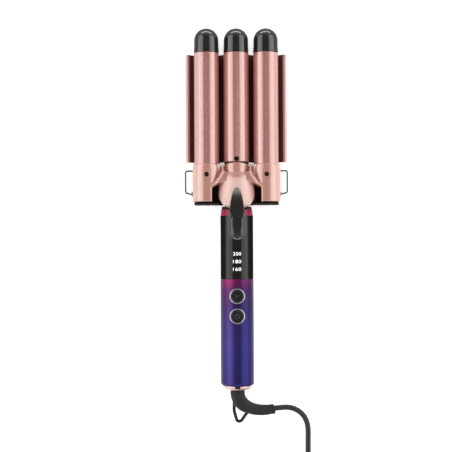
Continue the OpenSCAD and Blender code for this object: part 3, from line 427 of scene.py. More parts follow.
# %% Finishes of the head
finishes = {
    "barrels": finish(
        "rose_barrel", (186, 112, 106), (176, 102, 97), (0.3, 0.38), 0.25, 0.3, (2600, 0.2, 0.8),
        (228, 190, 182), (26, 0.3), (1, 0.2, 2.6, 0.21, 0, 1), lines=(1100, 8)),
    "wave_plate": finish(
        "rose_plate", (204, 148, 141), (192, 136, 130), (0.34, 0.42), 0.25, 0.3, (2200, 0.2, 2),
        (230, 196, 190), (24, 0.4), (1, 0.2, 2.4, 0.2, 0, 1)),
    # painted shade: the troughs' darker rose stands for shade and dark reflections between the
    # barrels
    "plate_trough": finish(
        "rose_trough_painted_shade", (108, 74, 66), (96, 64, 57), (0.34, 0.44), 0.2, 0.2, (2200, 0.2, 2), None,
        (24, 0.4)),
    "tail_ring": finish(
        "rose_ring", (222, 188, 184), (204, 168, 166), (0.22, 0.3), 0.6, 0.5, (2400, 0.2, 4),
        (236, 212, 206), (30, 0.3)),
    "clamp_housing": finish(
        "pink_housing", (204, 144, 130), (194, 133, 119), (0.3, 0.4), 0.1, 0.4, (1500, 0.5, 4),
        (228, 190, 178), (22, 0.4), (1, 0.5, 2.4, 0.24, 0, 1)),
    "tips": finish(
        "black_tip", (27, 26, 27), (34, 33, 34), (0.3, 0.4), 0, 0, (1800, 0.4, 5), (58, 58, 60),
        (40, 0.4), (1, 0.3, 1.75, 0.12, 0.2, 0.34)),
    # the lever's ramp along Y is a painted highlight: a grey-olive glow on its raised tip by the
    # dome
    "thumb_lever": finish(
        "black_lever", None, (225, 225, 225), (0.3, 0.4), 0, 0, (1700, 0.4, 5), (70, 70, 68),
        (36, 0.4), (1, 0.5, 1.75, 0.14, 0, 1),
        ramp=[(6, (28, 28, 28)), (12, (50, 49, 46)), (17.5, (122, 119, 108)),
              (20.5, (104, 100, 90))]),
    "head_base": finish(
        "black_base", (62, 53, 50), (70, 61, 57), (0.5, 0.62), 0, 0.25, (1100, 0.6, 30),
        (66, 62, 60), (30, 0.4)),
    "neck_core": finish(
        "black_neck", (50, 44, 42), (58, 52, 49), (0.5, 0.6), 0, 0.2, (1100, 0.6, 30),
        (60, 56, 54), (30, 0.4)),
    "seats": finish(
        "black_seat", (36, 34, 33), (46, 43, 41), (0.55, 0.65), 0, 0.25, (1200, 0.6, 30),
        (60, 58, 56), (30, 0.4)),
    "dark_screws": finish(
        "blackened_steel", (62, 40, 37), (44, 30, 28), (0.35, 0.5), 0.7, 0.4, (3000, 0.4, 10),
        (110, 84, 78), (60, 0.5)),
    "steel_screws": finish(
        "zinc_steel", (190, 192, 196), (160, 162, 168), (0.28, 0.4), 1, 0.5, (3000, 0.4, 10),
        (220, 220, 222), (60, 0.5)),
    "stand_wire": finish(
        "chrome_wire", (126, 128, 130), (104, 106, 109), (0.18, 0.26), 1, 0.5, (2600, 0.3, 3),
        None, (60, 0.4)),
}
print("finishes of the head:", len(finishes))

# %% [markdown]
# ## The paler dome
# The dome is lit more brightly than the two sleeves that are moulded with it, and that light is
# painted into its colour here. A second finish on its faces could show it, but the change is soft
# and follows a circle, not an edge. So the housing's own finish is changed by the distance from the
# dome's middle, measured in the plane of the table: inside the circle the colour goes pale, a
# painted highlight, and the clear coat fades.

# %% The paler dome, a painted highlight
tree = finishes["clamp_housing"].node_tree
shader = tree.nodes["Principled BSDF"]
whole, weight = (shader.inputs[k].links[0].from_socket for k in ("Base Color", "Coat Weight"))
dome_middle, painted_light_within, usual_beyond = mm(0, 12.5, 0), 0.0162, 0.0196
place = add(tree, "TexCoord")
flat = reckon(tree, "MULTIPLY", None, (1, 1, 0), kind="VectorMath")
far = reckon(tree, "DISTANCE", None, dome_middle, kind="VectorMath")
painted_light_mask = add(tree, "MapRange", interpolation_type="SMOOTHSTEP", From_Min=painted_light_within,
           From_Max=usual_beyond, To_Min=1, To_Max=0)
less, damp = reckon(tree, "MULTIPLY_ADD", None, -0.95, 1), reckon(tree, "MULTIPLY")
link(tree, (place, "Object", flat, 0), (flat, 0, far, 0), (far, "Value", painted_light_mask, "Value"),
     (painted_light_mask, "Result", less, 0), (less, 0, damp, 0), (damp, 0, shader, "Coat Weight"))
tree.links.new(weight, damp.inputs[1])
# The pale colour within the circle is a painted highlight on the dome.
tree.links.new(mixed(tree, painted_light_mask.outputs["Result"], whole, rgb(236, 200, 193)),
               shader.inputs["Base Color"])
print("the dome is paler inside a circle of 18 mm")

# %% Finishes of the handle
finishes.update({
    "top_collar": finish(
        "black_collar", (30, 28, 29), (38, 36, 37), (0.35, 0.45), 0, 0.1, (1600, 0.5, 8),
        (60, 58, 58), (36, 0.4), (0.8, 0.1, 1.6, 0.2, 0.2, 0.4)),
    "magenta_band": finish(
        "magenta_band", (144, 24, 64), (130, 20, 56), (0.3, 0.4), 0.2, 0.1, (3200, 0.4, 3),
        (170, 60, 96), (40, 0.4), (0.35, 0, 1.6, 0.14, 0.2, 0.38)),
    "display_sleeve": finish(
        "piano_black", (24, 24, 25), (31, 31, 33), (0.3, 0.36), 0, 0, (1600, 0.4, 3),
        (52, 52, 54), (28, 0.4), (0.75, 0, 1.5, 0.1, 0.2, 0.34)),
    "grip_shell": finish(
        "gradient_grip", None, (215, 215, 222), (0.3, 0.38), 0.5, 0.15, (3400, 0.4, 8),
        (90, 78, 130), (30, 0.35), (0.15, 0, 1.6, 0.16, 0.15, 0.34),
        ramp=[(-176.4, (66, 60, 128)), (-160, (70, 66, 140)), (-134, (76, 70, 144)),
              (-116, (76, 64, 136)), (-104, (78, 58, 124)), (-92, (86, 54, 112)),
              (-80.4, (112, 48, 106)), (-74.4, (152, 46, 114)), (-70.4, (172, 46, 114))],
        # across: painted shade, colours that darken the grip's two sides towards their rims, the
        # right side darker and bluer
        across=[(-16.5, (0.16, 0.14, 0.26)), (-12.5, (0.5, 0.41, 0.62)), (-8, (0.74, 0.6, 0.76)),
                (-4, (0.68, 0.56, 0.72)), (0, (0.49, 0.52, 0.62)), (4, (0.4, 0.44, 0.62)),
                (8, (0.28, 0.27, 0.6)), (12.5, (0.2, 0.2, 0.48)), (16.5, (0.14, 0.14, 0.22))]),
    "button_rings": finish(
        "bright_ring", (204, 196, 214), (184, 176, 196), (0.2, 0.28), 0.9, 0.5, (2600, 0.3, 3),
        None, (60, 0.4)),
    "buttons": finish(
        "black_button", (32, 31, 32), (40, 38, 39), (0.34, 0.44), 0, 0.1, (1900, 0.5, 8),
        (66, 64, 66), (60, 0.4), (0.5, 0.1, 1.6, 0.16, 0, 1)),
    "rubber": finish(
        "black_rubber", (33, 34, 34), (45, 46, 45), (0.6, 0.72), 0, 0.3, (1300, 0.6, 30),
        (70, 70, 70), (26, 0.5)),
    "cord": finish(
        "cord_jacket", (40, 40, 41), (50, 50, 51), (0.45, 0.55), 0, 0.4, (1700, 0.4, 10), None,
        (40, 0.4)),
    "cord_tie": finish(
        "strap_weave", (46, 46, 48), (60, 60, 62), (0.7, 0.8), 0, 0.3, (2400, 0.7, 80),
        (80, 80, 82), (40, 0.5)),
    "plug_body": finish(
        "black_plug", (34, 34, 35), (44, 44, 45), (0.5, 0.6), 0, 0.35, (1100, 0.6, 30),
        (60, 60, 61), (30, 0.4)),
    "plug_pins": finish(
        "nickel_pin", (205, 198, 180), (176, 168, 150), (0.22, 0.32), 1, 0.5, (2600, 0.3, 4),
        (226, 222, 208), (60, 0.4)),
})
print("finishes so far:", len(finishes))

# %% Finishes inside
finishes.update({
    "carriers": finish(
        "drawn_aluminium", (196, 198, 202), (176, 178, 184), (0.3, 0.4), 1, 0.5, (2600, 0.3, 10),
        (222, 222, 226), (40, 0.4), lines=(1800, 14)),
    "ceramics": finish(
        "heater_ceramic", (232, 228, 216), (212, 204, 190), (0.5, 0.62), 0, 0.4,
        (1800, 0.5, 30), None, (50, 0.5)),
    "thermal_fuse": finish(
        "glazed_fuse", (216, 212, 196), (190, 184, 164), (0.25, 0.35), 0, 0.5, (2000, 0.4, 10),
        None, (80, 0.5)),
    "hinge_pin": finish(
        "ground_pin", (188, 190, 194), (160, 162, 168), (0.2, 0.3), 1, 0.5, (2600, 0.3, 5), None,
        (60, 0.4)),
    "clamp_spring": finish(
        "spring_steel", (150, 151, 156), (120, 121, 126), (0.25, 0.35), 1, 0.5, (2600, 0.3, 10),
        None, (60, 0.5)),
    "display_block": finish(
        "light_guide", (226, 226, 224), (206, 206, 204), (0.4, 0.5), 0, 0.5, (1500, 0.4, 20),
        None, (40, 0.4)),
    "handle_frame": finish(
        "grey_frame", (92, 92, 95), (78, 78, 81), (0.5, 0.6), 0, 0.4, (1200, 0.6, 30),
        (120, 120, 122), (30, 0.4)),
    "circuit_board": finish(
        "green_board", (30, 96, 52), (22, 76, 42), (0.35, 0.5), 0, 0.5, (900, 0.7, 20),
        (150, 140, 90), (70, 0.5)),
    "switches": finish(
        "switch_black", (50, 50, 53), (64, 64, 66), (0.45, 0.55), 0, 0.4, (1500, 0.5, 20),
        (90, 90, 92), (60, 0.4)),
    "power_parts": finish(
        "part_grey", (70, 72, 84), (56, 57, 66), (0.4, 0.5), 0, 0.5, (1300, 0.5, 20),
        (110, 110, 116), (60, 0.4)),
    "cord_clamp": finish(
        "clamp_black", (44, 44, 46), (56, 56, 58), (0.55, 0.65), 0, 0.3, (1200, 0.6, 30),
        (74, 74, 76), (30, 0.4)),
})
for part in frame["record"]["subparts"]:
    shell = nodes[part["node"]]
    shell.data.materials.clear()
    shell.data.materials.append(finishes[part["material_slot"]])
print("finishes:", len(finishes), "and every node of the frame has one")

# %% [markdown]
# ## Modelling by hand, without a window
# Almost every piece of this object is either turned on a lathe, moulded, or bent from wire. For the
# turned ones a single point is pulled along half the outline, and the line is spun round the axis.
# For flat outlines the line is closed, filled and extruded. Both keep exact sizes, which a scaled
# cylinder with cuts would not. The helpers below do the handwork, and each piece gives the shape.

# %% Helpers: select, edit, draw a line, join doubles
def only(piece):
    """Select this piece alone and make it the active one."""
    bpy.ops.object.select_all(action="DESELECT")
    piece.hide_set(False)
    piece.select_set(True)
    bpy.context.view_layer.objects.active = piece


def edit(piece):
    """Open this piece alone in edit mode, with all of it selected."""
    only(piece)
    bpy.ops.object.mode_set(mode="EDIT")
    bpy.ops.mesh.select_all(action="SELECT")


def close():
    """Leave edit mode, and give the piece back."""
    bpy.ops.object.mode_set(mode="OBJECT")
    return bpy.context.object


def tidy(piece):
    """Merge points that are within 4 micrometres, and turn every face outwards."""
    edit(piece)
    bpy.ops.mesh.remove_doubles(threshold=0.000004)
    bpy.ops.mesh.normals_make_consistent(inside=False)
    return close()


def pulled(step):
    """Extrude what is selected by a step in metres."""
    bpy.ops.mesh.extrude_region_move(TRANSFORM_OT_translate={"value": tuple(step)})


def drawn_line(name, points, closed):
    """A line through points in millimetres: one vertex, pulled on from point to point."""
    piece = begun(bpy.ops.mesh.primitive_plane_add, name, size=0.01, location=(0, 0, 0))
    edit(piece)
    bpy.ops.mesh.merge(type="CENTER")
    bpy.ops.transform.translate(value=mm(*points[0]))
    for a, b in zip(points, points[1:]):
        pulled((Vector(b) - Vector(a)) / 1000)
    close()
    if closed:
        last = len(piece.data.vertices) - 1
        for vertex in piece.data.vertices:
            vertex.select = vertex.index in (0, last)
        bpy.ops.object.mode_set(mode="EDIT")
        bpy.ops.mesh.edge_face_add()
        close()
    return piece


# %% Helper: turn a piece on the lathe
def turned(name, profile, centre, axis="Y", steps=96, closed=False):
    """A profile of (radius, place along the axis), spun round an axis through centre, in mm."""
    cx, cy, cz = centre
    points = [{"X": (h, cy + r, cz), "Y": (cx + r, h, cz), "Z": (cx + r, cy, h)}[axis]
              for r, h in profile]
    edit(drawn_line(name, points, closed))
    bpy.ops.mesh.spin(steps=steps, angle=2 * math.pi, center=mm(*centre),
                      axis=tuple(float(axis == k) for k in "XYZ"))
    return tidy(close())


# %% Helpers: modifiers and cutting tools
def applied(piece, kind, **values):
    """Put a modifier on a piece, set it and apply it."""
    only(piece)
    modifier = piece.modifiers.new(kind.lower(), kind)
    for key, value in values.items():
        setattr(modifier, key, value)
    bpy.ops.object.modifier_apply(modifier=modifier.name)
    return piece


def cut(piece, *tools):
    """Cut a piece with solid tools, and throw the tools away."""
    for tool in tools:
        applied(piece, "BOOLEAN", operation="DIFFERENCE", object=tool, solver="EXACT")
        bpy.data.objects.remove(tool)
    return piece


def eased(piece, width, segments, angle):
    """Round off the edges that are sharper than an angle, by a width in millimetres."""
    return applied(piece, "BEVEL", width=width / 1000, segments=segments, limit_method="ANGLE",
                   angle_limit=math.radians(angle), use_clamp_overlap=True, harden_normals=False)


def drill(x, y, z0, z1, r, steps=48):
    """An upright round tool between two heights."""
    return begun(bpy.ops.mesh.primitive_cylinder_add, "drill", vertices=steps, radius=r / 1000,
                 depth=(z1 - z0) / 1000, location=mm(x, y, (z0 + z1) / 2))


def block(middle, size):
    """A box-shaped tool, from its middle and its three sides in millimetres."""
    edit(begun(bpy.ops.mesh.primitive_cube_add, "block", size=1, location=mm(*middle)))
    bpy.ops.transform.resize(value=mm(*size))
    return close()


def ball(name, middle, halves):
    """A ball stretched to three half lengths, all in millimetres."""
    edit(begun(bpy.ops.mesh.primitive_uv_sphere_add, name, segments=64, ring_count=32, radius=1,
               location=mm(*middle)))
    bpy.ops.transform.resize(value=mm(*halves))
    return close()


# %% Helpers: copy a piece, and settle it on its body
def copied(piece, name, shift=(0, 0, 0), mirror=False):
    """A copy with its own mesh, moved by millimetres or mirrored across the middle plane."""
    twin = piece.copy()
    twin.data = piece.data.copy()
    twin.name = twin.data.name = name
    bpy.context.scene.collection.objects.link(twin)
    edit(twin)
    if mirror:
        bpy.ops.transform.mirror(constraint_axis=(True, False, False), center_override=(0, 0, 0))
        bpy.ops.mesh.flip_normals()
    bpy.ops.transform.translate(value=mm(*shift))
    return close()


def settled(piece, slot, body, *stands_for, angle=32):
    """Smooth a finished piece, give it its finish, and let it ride on its body."""
    only(piece)
    bpy.ops.object.shade_smooth_by_angle(angle=math.radians(angle))
    piece.data.materials.clear()
    piece.data.materials.append(finishes[slot])
    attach(piece, body)
    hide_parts(*stands_for)
    print(f"{piece.name}: {len(piece.data.polygons)} faces, on {body}, for {', '.join(stands_for)}")


# %% [markdown]
# ## Barrels
# Each barrel is a drawn metal tube with a glossy rose coating. The outer two run on down into the
# clamp, and the middle one ends at the head. A tube turned from one closed profile has both its
# walls and a small round at each end, which a plain cylinder lacks. The screw holes are cut last.

# %% Turn the barrels
hinge = sum(span("hinge_pin"), Vector()) / 2
low, high = span("middle_barrel")
barrel_r, barrel_foot, barrel_top = high.x, low.y, high.y
low, high = span("right_barrel")
outer_foot, pitch = low.y, (low.x + high.x) / 2
inner_r = barrel_r - 1.2
plate_screw_y = (barrel_foot + 5.5, barrel_foot + 12)
middle_screw_y, sleeve_screw_y = barrel_foot + 2.6, hinge.y + 18.4
screw_well_r, plate_hole_r, sleeve_hole_r = 2.45, 1.4, 1.3


def tube(name, x, foot, ease=0.25):
    """A barrel's tube, its wall drawn as a closed outline with eased outer corners."""
    wall = [(barrel_r, foot + ease), (barrel_r, barrel_top - ease), (barrel_r - ease, barrel_top),
            (inner_r, barrel_top), (inner_r, foot), (barrel_r - ease, foot)]
    return turned(name, wall, (x, 0, hinge.z), steps=128, closed=True)


def plate_holes():
    """Tools for the two plate screws' holes, made anew for each piece that they go through."""
    return [drill(0, y, -1, hinge.z, plate_hole_r) for y in plate_screw_y]


middle_barrel = tube("barrel_middle", 0, barrel_foot)
cut(middle_barrel, drill(0, middle_screw_y, hinge.z, hinge.z + 20, screw_well_r), *plate_holes())
right_barrel = tube("barrel_right", pitch, outer_foot)
cut(right_barrel, drill(pitch, sleeve_screw_y, hinge.z, hinge.z + 20, sleeve_hole_r))
left_barrel = copied(right_barrel, "barrel_left", mirror=True)
settled(middle_barrel, "barrels", "iron", "middle_barrel")
settled(right_barrel, "barrels", "clamp", "right_barrel")
settled(left_barrel, "barrels", "clamp", "left_barrel")

# %% [markdown]
# ## Tips
# Each barrel ends in a polished black moulding: a short straight part, then a round dome, so that
# hot metal doesn't touch the skin. A hidden plug holds it in the tube. The dome is drawn as a
# quarter arc in the profile, fine enough that its highlight stays round. One tip is turned and
# the other two are copies of it.

# %% Turn the tips
low, high = span("middle_tip")
round_r, plug_r = barrel_r - 0.3, inner_r - 0.1
tip_profile = [(0, low.y), (plug_r, low.y), (plug_r, barrel_top + 0.05),
               (barrel_r - 0.5, barrel_top + 0.05), (barrel_r - 0.05, barrel_top + 0.4),
               (barrel_r, barrel_top + 1), (barrel_r - 0.06, barrel_top + 3.4),
               (round_r + 0.03, barrel_top + 6)]
tip_profile += arc(0, high.y - round_r, round_r, round_r, range(0, 90, 4)) + [(0, high.y)]
middle_tip = turned("tip_middle", tip_profile, (0, 0, hinge.z))
right_tip = copied(middle_tip, "tip_right", (pitch, 0, 0))
left_tip = copied(middle_tip, "tip_left", (-pitch, 0, 0))
settled(middle_tip, "tips", "iron", "middle_tip")
settled(right_tip, "tips", "clamp", "right_tip")
settled(left_tip, "tips", "clamp", "left_tip")

# %% [markdown]
# ## Wave plate
# Behind the barrels lies a sheet of formed metal. It cradles the middle barrel, dips under the
# outer two, and rises to a flat rim at each side whose edge turns down. Hair is pressed into its
# waves. Its end outline is drawn once, as the path a sheet would follow, closed, filled and pulled
# along the barrels, and the sharp long edges are then rounded as a press leaves them. The troughs
# take a second, darker finish, which is painted shade: it stands in for the shade under the barrels
# and for their dark undersides that the troughs mirror, which leave the troughs nearly black.

# %% Form the wave plate
low, high = span("wave_plate")
plate_t, trough_gap, rim_rise, rim_w, rim_lip, rim_round = 2.4, 1.0, 9.5, 4, 6, 2.7
cradle_r, half, trough_z = barrel_r + 0.1, pitch - barrel_r, hinge.z - barrel_r - trough_gap
trough_r = (half * half + rim_rise * rim_rise) / (2 * rim_rise)
rim_z, rim_in, dip_z = trough_z + rim_rise, pitch + half, trough_z + trough_r
rim_out, lip_z, under_r = rim_in + rim_w, rim_z - rim_lip, trough_r + plate_t


def side_arc(cx, cz, r, z0, z1, side, count=18):
    """Points of a circle's arc between two heights, on its left (-1) or right (1) side."""
    a0, a1 = (math.asin(max(-1, min(1, (z - cz) / r))) for z in (z0, z1))
    return [(cx + side * r * math.cos(a0 + (a1 - a0) * i / count),
             cz + r * math.sin(a0 + (a1 - a0) * i / count)) for i in range(count + 1)]


rim_arc = [(rim_out - rim_round * (1 - math.cos(math.radians(a))),
            rim_z - rim_round * (1 - math.sin(math.radians(a)))) for a in range(0, 91, 9)]
right_top = [(rim_out, lip_z)] + rim_arc
right_top += side_arc(pitch, dip_z, trough_r, rim_z, trough_z, 1)
right_top += side_arc(pitch, dip_z, trough_r, trough_z, rim_z, -1)[1:]
right_top += side_arc(0, hinge.z, cradle_r, rim_z, hinge.z - cradle_r, 1)
meet_z = 10.1606  # where the underside of the cradle meets that of the trough
right_under = side_arc(0, hinge.z, cradle_r + plate_t, hinge.z - cradle_r - plate_t, meet_z, 1)
right_under += side_arc(pitch, dip_z, under_r, meet_z, trough_z - plate_t, -1)[1:]
right_under += side_arc(pitch, dip_z, under_r, trough_z - plate_t, rim_z - plate_t, 1)[1:]
right_under += [(rim_out - plate_t, rim_z - plate_t), (rim_out - plate_t, lip_z)]
outline = (right_top + [(-x, z) for x, z in right_top[-2::-1]]
           + [(-x, z) for x, z in right_under[::-1]] + right_under[1:])
wave_plate = drawn_line("wave_plate_sheet", [(x, low.y, z) for x, z in outline], True)
edit(wave_plate)
bpy.ops.mesh.edge_face_add()
pulled(mm(0, high.y - low.y, 0))
tidy(close())
eased(wave_plate, 0.45, 3, 50)
cut(wave_plate, *plate_holes())
settled(wave_plate, "wave_plate", "iron", "wave_plate", angle=28)
# The upward faces of the troughs take the darker finish, a painted shade.
wave_plate.data.materials.append(finishes["plate_trough"])
for face in wave_plate.data.polygons:
    x, z = abs(face.center.x) * 1000, face.center.z * 1000
    if face.normal.z > 0.25 and z < rim_z - 0.4 and x < rim_in - 0.1:
        face.material_index = 1

# %% [markdown]
# ## Moulded pieces
# The clamp housing, the head base, the neck and the plug are plastic mouldings: all their corners
# are soft, and where two forms meet there is a fillet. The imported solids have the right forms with
# hard seams. So a copy of the solid is welded, remeshed into even squares, and smoothed a few
# times, which rounds every edge and fills every inner corner at once, as a mould's cutter does.

# %% Helper: cast a moulding over a node
def moulded(name, node, voxel, passes, cutters=(), extras=()):
    """A soft copy of a node: welded, cut, joined by extras, remeshed at a voxel in mm, smoothed."""
    piece = nodes[node].copy()
    piece.data = nodes[node].data.copy()
    piece.name = piece.data.name = name
    for key in list(piece.keys()):
        del piece[key]
    piece.parent = None
    bpy.context.scene.collection.objects.link(piece)
    edit(piece)
    bpy.ops.mesh.remove_doubles(threshold=0.000002)
    close()
    cut(piece, *cutters)
    only(piece)
    for extra in extras:
        extra.select_set(True)
    bpy.ops.object.join()
    applied(piece, "REMESH", mode="VOXEL", voxel_size=voxel / 1000, adaptivity=0)
    return applied(piece, "SMOOTH", factor=0.5, iterations=passes)


# %% Helpers: a flat block, and a wire made solid
def slab(name, plan, z0, z1, lean=0):
    """A flat block with this outline, between two heights. Its top leans towards +Y by degrees."""
    edit(drawn_line(name, [(x, y, z0) for x, y in plan], True))
    bpy.ops.mesh.edge_face_add()
    pulled(mm(0, 0, z1 - z0))
    if lean:
        middle = sum(y for _, y in plan) / len(plan)
        bpy.ops.transform.rotate(value=math.radians(lean), orient_axis="X",
                                 center_override=mm(0, middle, z1))
    return tidy(close())


def solid(piece, name):
    """A curve turned into a mesh with its own name, doubles merged, normals outward."""
    only(piece)
    bpy.ops.object.convert(target="MESH")
    made = bpy.context.object
    made.name = made.data.name = name
    return tidy(made)


# %% [markdown]
# ## Clamp housing
# Between each sleeve and the dome the housing is one surface: a saddle that rises towards the
# hinge, with a narrow ridge that runs from beside the collar down to a point over the sleeve's
# window. A block with a leaning top fills each saddle, and a bent bar makes its ridge. Remeshing
# joins them.

# %% Mould the clamp housing
saddle = slab("saddle", [(3, 34.2), (8, 35.4), (13.8, 38.2), (16, 32.5), (20, 27), (24.2, 22),
                         (23.6, 21), (18.6, 24.8), (14, 25.5), (8, 27), (6, 30)], 17, 31.2, 17)
ridge = solid(wire("ridge", [(13.9, 44.1, 25.6), (13.8, 41, 27.6), (13.9, 37.6, 29.2),
                             (16, 32.8, 30.9), (20, 27.2, 32.2), (23.9, 22.2, 32.6)], 1.1,
                   [0.8, 1, 1, 1.05, 1, 0.8], sides=3), "ridge")
flank = slab("flank", [(15.8, 32), (19, 27.4), (23.4, 24), (23.4, 44.2), (15.8, 44.2)], 17, 28.4)
edit(flank)
bpy.ops.mesh.select_all(action="DESELECT")
close()
for vertex in flank.data.vertices:
    vertex.select = vertex.co.z > 0.028 and vertex.co.x < 0.0165
bpy.ops.object.mode_set(mode="EDIT")
bpy.ops.transform.translate(value=mm(0, 0, -2.4))
close()
shapes = [saddle, ridge, flank]
shapes += [copied(shape, shape.name + "_left", mirror=True) for shape in shapes]
clamp_housing = moulded("clamp_housing_shell", "clamp_housing", 0.5, 12, extras=shapes)
settled(clamp_housing, "clamp_housing", "clamp", "clamp_housing", angle=60)

# %% [markdown]
# ## Thumb lever
# The black lever grows out of the dome as a long pointed leaf and ends over the handle in a pad
# with a raised rim, which the thumb presses. It could be modelled as a flat leaf, but its
# highlights in the photograph show a hollow with a rounded lip that opens at the lowest point. So a
# stretched ball is cut out of the pad, a bent bar of changing thickness makes the lip, and both are
# moulded.

# %% Mould the thumb lever
pad_y, lever_half, pad_end, lever_t, clamp_angle = hinge.y - 36.6, 8, 10.4, 4.4, math.radians(16)
leaf_top = span("thumb_lever")[1].y


def lever_top(y):
    """The height of the lever's upper face, which climbs away from the dome."""
    under = 15.2 + (hinge.y - y) * math.sin(clamp_angle)
    return hinge.z + under / math.cos(clamp_angle) + lever_t


def lever_width(y):
    """Half the lever's width above the pad's middle: a long pointed arch."""
    return lever_half * math.sqrt(1 - ((y - pad_y) / (leaf_top - pad_y)) ** 2.2)


side = [(lever_width(y) - 0.3, y) for y in (-4, -8, -12, -16, -20)]
side += arc(0, pad_y, lever_half - 0.3, 0.2 - pad_end, (12, 28, 44, 58, 72))
rim = side + [(0, pad_y - pad_end + 0.8)] + [(-x, y) for x, y in side[::-1]]
fullness = [0.5, 0.75, 0.9, 0.95, 1, 1, 1, 0.85, 0.5, 0.25]
fullness += [0.15] + fullness[::-1]
rim = [(x, y, lever_top(y) - 1.1 + 1.2 * w) for (x, y), w in zip(rim, fullness)]
rim = solid(wire("rim", rim, 1.25, fullness, sides=3), "rim")
hollow_mid = (0, pad_y + 4.8, lever_top(pad_y + 4.8) + 1.75)
hollow = ball("hollow", hollow_mid, (7.9, 16, 3))
edit(hollow)
bpy.ops.transform.rotate(value=clamp_angle, orient_axis="X", center_override=mm(*hollow_mid))
close()
thumb_lever = moulded("thumb_lever_pad", "thumb_lever", 0.35, 7, cutters=(hollow,), extras=(rim,))
settled(thumb_lever, "thumb_lever", "clamp", "thumb_lever", angle=60)

# %% [markdown]
# ## Head base and neck
# Behind the clamp is the black base that lies on the table, with a wall along its foot and a lug
# for the stand on each side. The neck stands on it, carries the hinge and goes into the handle.

# %% Mould the base and the neck
foot_y = span("head_base")[0].y
base_half, base_wall_z = pitch + 12.8, 16.5
corner = [(base_half - 7, foot_y), (base_half, foot_y), (base_half, foot_y + 6),
          (base_half - 7, foot_y + 6)]
post = [(x, min(y, foot_y + 2.2)) for x, y in corner]
corners = [slab("corner", corner, 0, 3), slab("post", post, 2, base_wall_z)]
corners += [copied(piece, piece.name + "_left", mirror=True) for piece in corners]
settled(moulded("head_base_tray", "head_base", 0.55, 3, extras=corners), "head_base", "iron",
        "head_base", angle=50)
settled(moulded("neck_block", "neck_core", 0.5, 3), "neck_core", "iron", "neck_core", angle=50)

# %% [markdown]
# ## Screws that show
# Three dark screws sit deep in round holes: one in the middle barrel and one in each sleeve. In the
# photo they are dark dots with a faint cross. The head is turned with a rounded rim, and two thin
# boxes cut the cross. It could be a texture, but then the slot would stay flat when light grazes
# it.

# %% Turn the dark screws
def cross_screw(name, x, y, head_z, shaft, head_r=2.3, shaft_r=1.1, slot=0.55):
    """A screw with a rounded head and a cross recess, its head's underside at head_z."""
    profile = [(0, head_z - shaft), (shaft_r, head_z - shaft + 0.6), (shaft_r, head_z),
               (head_r, head_z), (head_r, head_z + 0.7), (head_r - 0.3, head_z + 1.1),
               (head_r - 0.9, head_z + 1.25), (0, head_z + 1.3)]
    middle, reach = (x, y, head_z + 1.3), head_r * 1.3
    return cut(turned(name, profile, (x, y, 0), axis="Z", steps=48),
               block(middle, (slot, reach, 1.4)), block(middle, (reach, slot, 1.4)))


head_z = span("middle_screw")[1].z - 1.3
middle_screw = cross_screw("screw_middle", 0, middle_screw_y, head_z, 6.5)
right_screw = cross_screw("screw_right", pitch, sleeve_screw_y, hinge.z + barrel_r + 0.05, 8)
left_screw = copied(right_screw, "screw_left", (-2 * pitch, 0, 0))
settled(middle_screw, "dark_screws", "iron", "middle_screw")
settled(right_screw, "dark_screws", "clamp", "sleeve_screws")
settled(left_screw, "dark_screws", "clamp", "sleeve_screws")

# %% [markdown]
# ## Wire stand
# A thin plated wire is bent into a square loop on each side, joined behind the plate, and folds out
# so that the hot head stands clear of the table. A bent wire is a curve with a round section: its
# corners are short arcs, as pliers make them, not sharp mitres.

# %% Bend the stand
def bent(path, bends, count=7):
    """A flat path with each inner corner replaced by an arc of its own radius."""
    points = [path[0]]
    for i in range(1, len(path) - 1):
        before, here, after = (Vector((*path[k], 0)) for k in (i - 1, i, i + 1))
        u, v = (here - before).normalized(), (after - here).normalized()
        turn = u.angle(v)
        side = 1 if u.cross(v).z > 0 else -1
        start = here - u * (bends[i - 1] * math.tan(turn / 2))
        middle = start + Vector((-u.y, u.x, 0)) * side * bends[i - 1]
        arm = start - middle
        for k in range(count + 1):
            a = side * turn * k / count
            points.append((middle.x + arm.x * math.cos(a) - arm.y * math.sin(a),
                           middle.y + arm.x * math.sin(a) + arm.y * math.cos(a)))
    return points + [path[-1]]


low, high = span("stand_wire")
wire_r, stand_z = (high.z - low.z) / 2, (low.z + high.z) / 2
stand_half = high.x - wire_r
arm = [(42.3, hinge.y), (stand_half - 4.8, hinge.y), (stand_half, hinge.y + 1.4),
       (stand_half, high.y - wire_r)]
path = bent(arm + [(-x, y) for x, y in arm[::-1]], [2.1, 1.6, 2, 2, 1.6, 2.1])
stand = wire("stand", [(x, y, stand_z) for x, y in path], wire_r, steps=2)
for knot in stand.data.splines[0].bezier_points:
    knot.handle_left_type = knot.handle_right_type = "VECTOR"
settled(solid(stand, "stand_loop"), "stand_wire", "stand", "stand_wire", angle=50)

# %% [markdown]
# ## Top of the handle
# Three rings lead from the dome into the handle: a black collar, a narrow magenta band, and the
# glossy black sleeve with the numbers. The dome's round lower half swings in a hollow that is cut
# out of the first two. They are turned as tubes, and a ball with a cylinder on it cuts the hollow.

# %% Turn the collar, band and sleeve
low, high = span("grip_shell")
handle_z, grip_r, grip_foot, grip_top = (low.z + high.z) / 2, high.x, low.y, high.y
bore_r, collar_r, core_r = grip_r - 2.2, 15.3, 14.1
collar_top, band_top = span("top_collar")[1].y, span("magenta_band")[1].y
sleeve_r, sleeve_top = span("display_sleeve")[1].xy
handle_axis = (0, 0, handle_z)


def hollow_for_dome():
    """The ball with a cylinder on it in which the dome's lower half swings."""
    cup_r, floor_z = 18.7, 15.4
    profile = arc(0, hinge.z, cup_r, cup_r, range(-90, 1, 3)) + [(cup_r, hinge.z + 30),
                                                                 (0, hinge.z + 30)]
    profile = [(r, z) for r, z in profile if z > floor_z]
    floor_r = math.sqrt(cup_r ** 2 - (hinge.z - floor_z) ** 2)
    return turned("dome_hollow", [(0, floor_z), (floor_r, floor_z)] + profile, (0, hinge.y, 0),
                  axis="Z", steps=128)


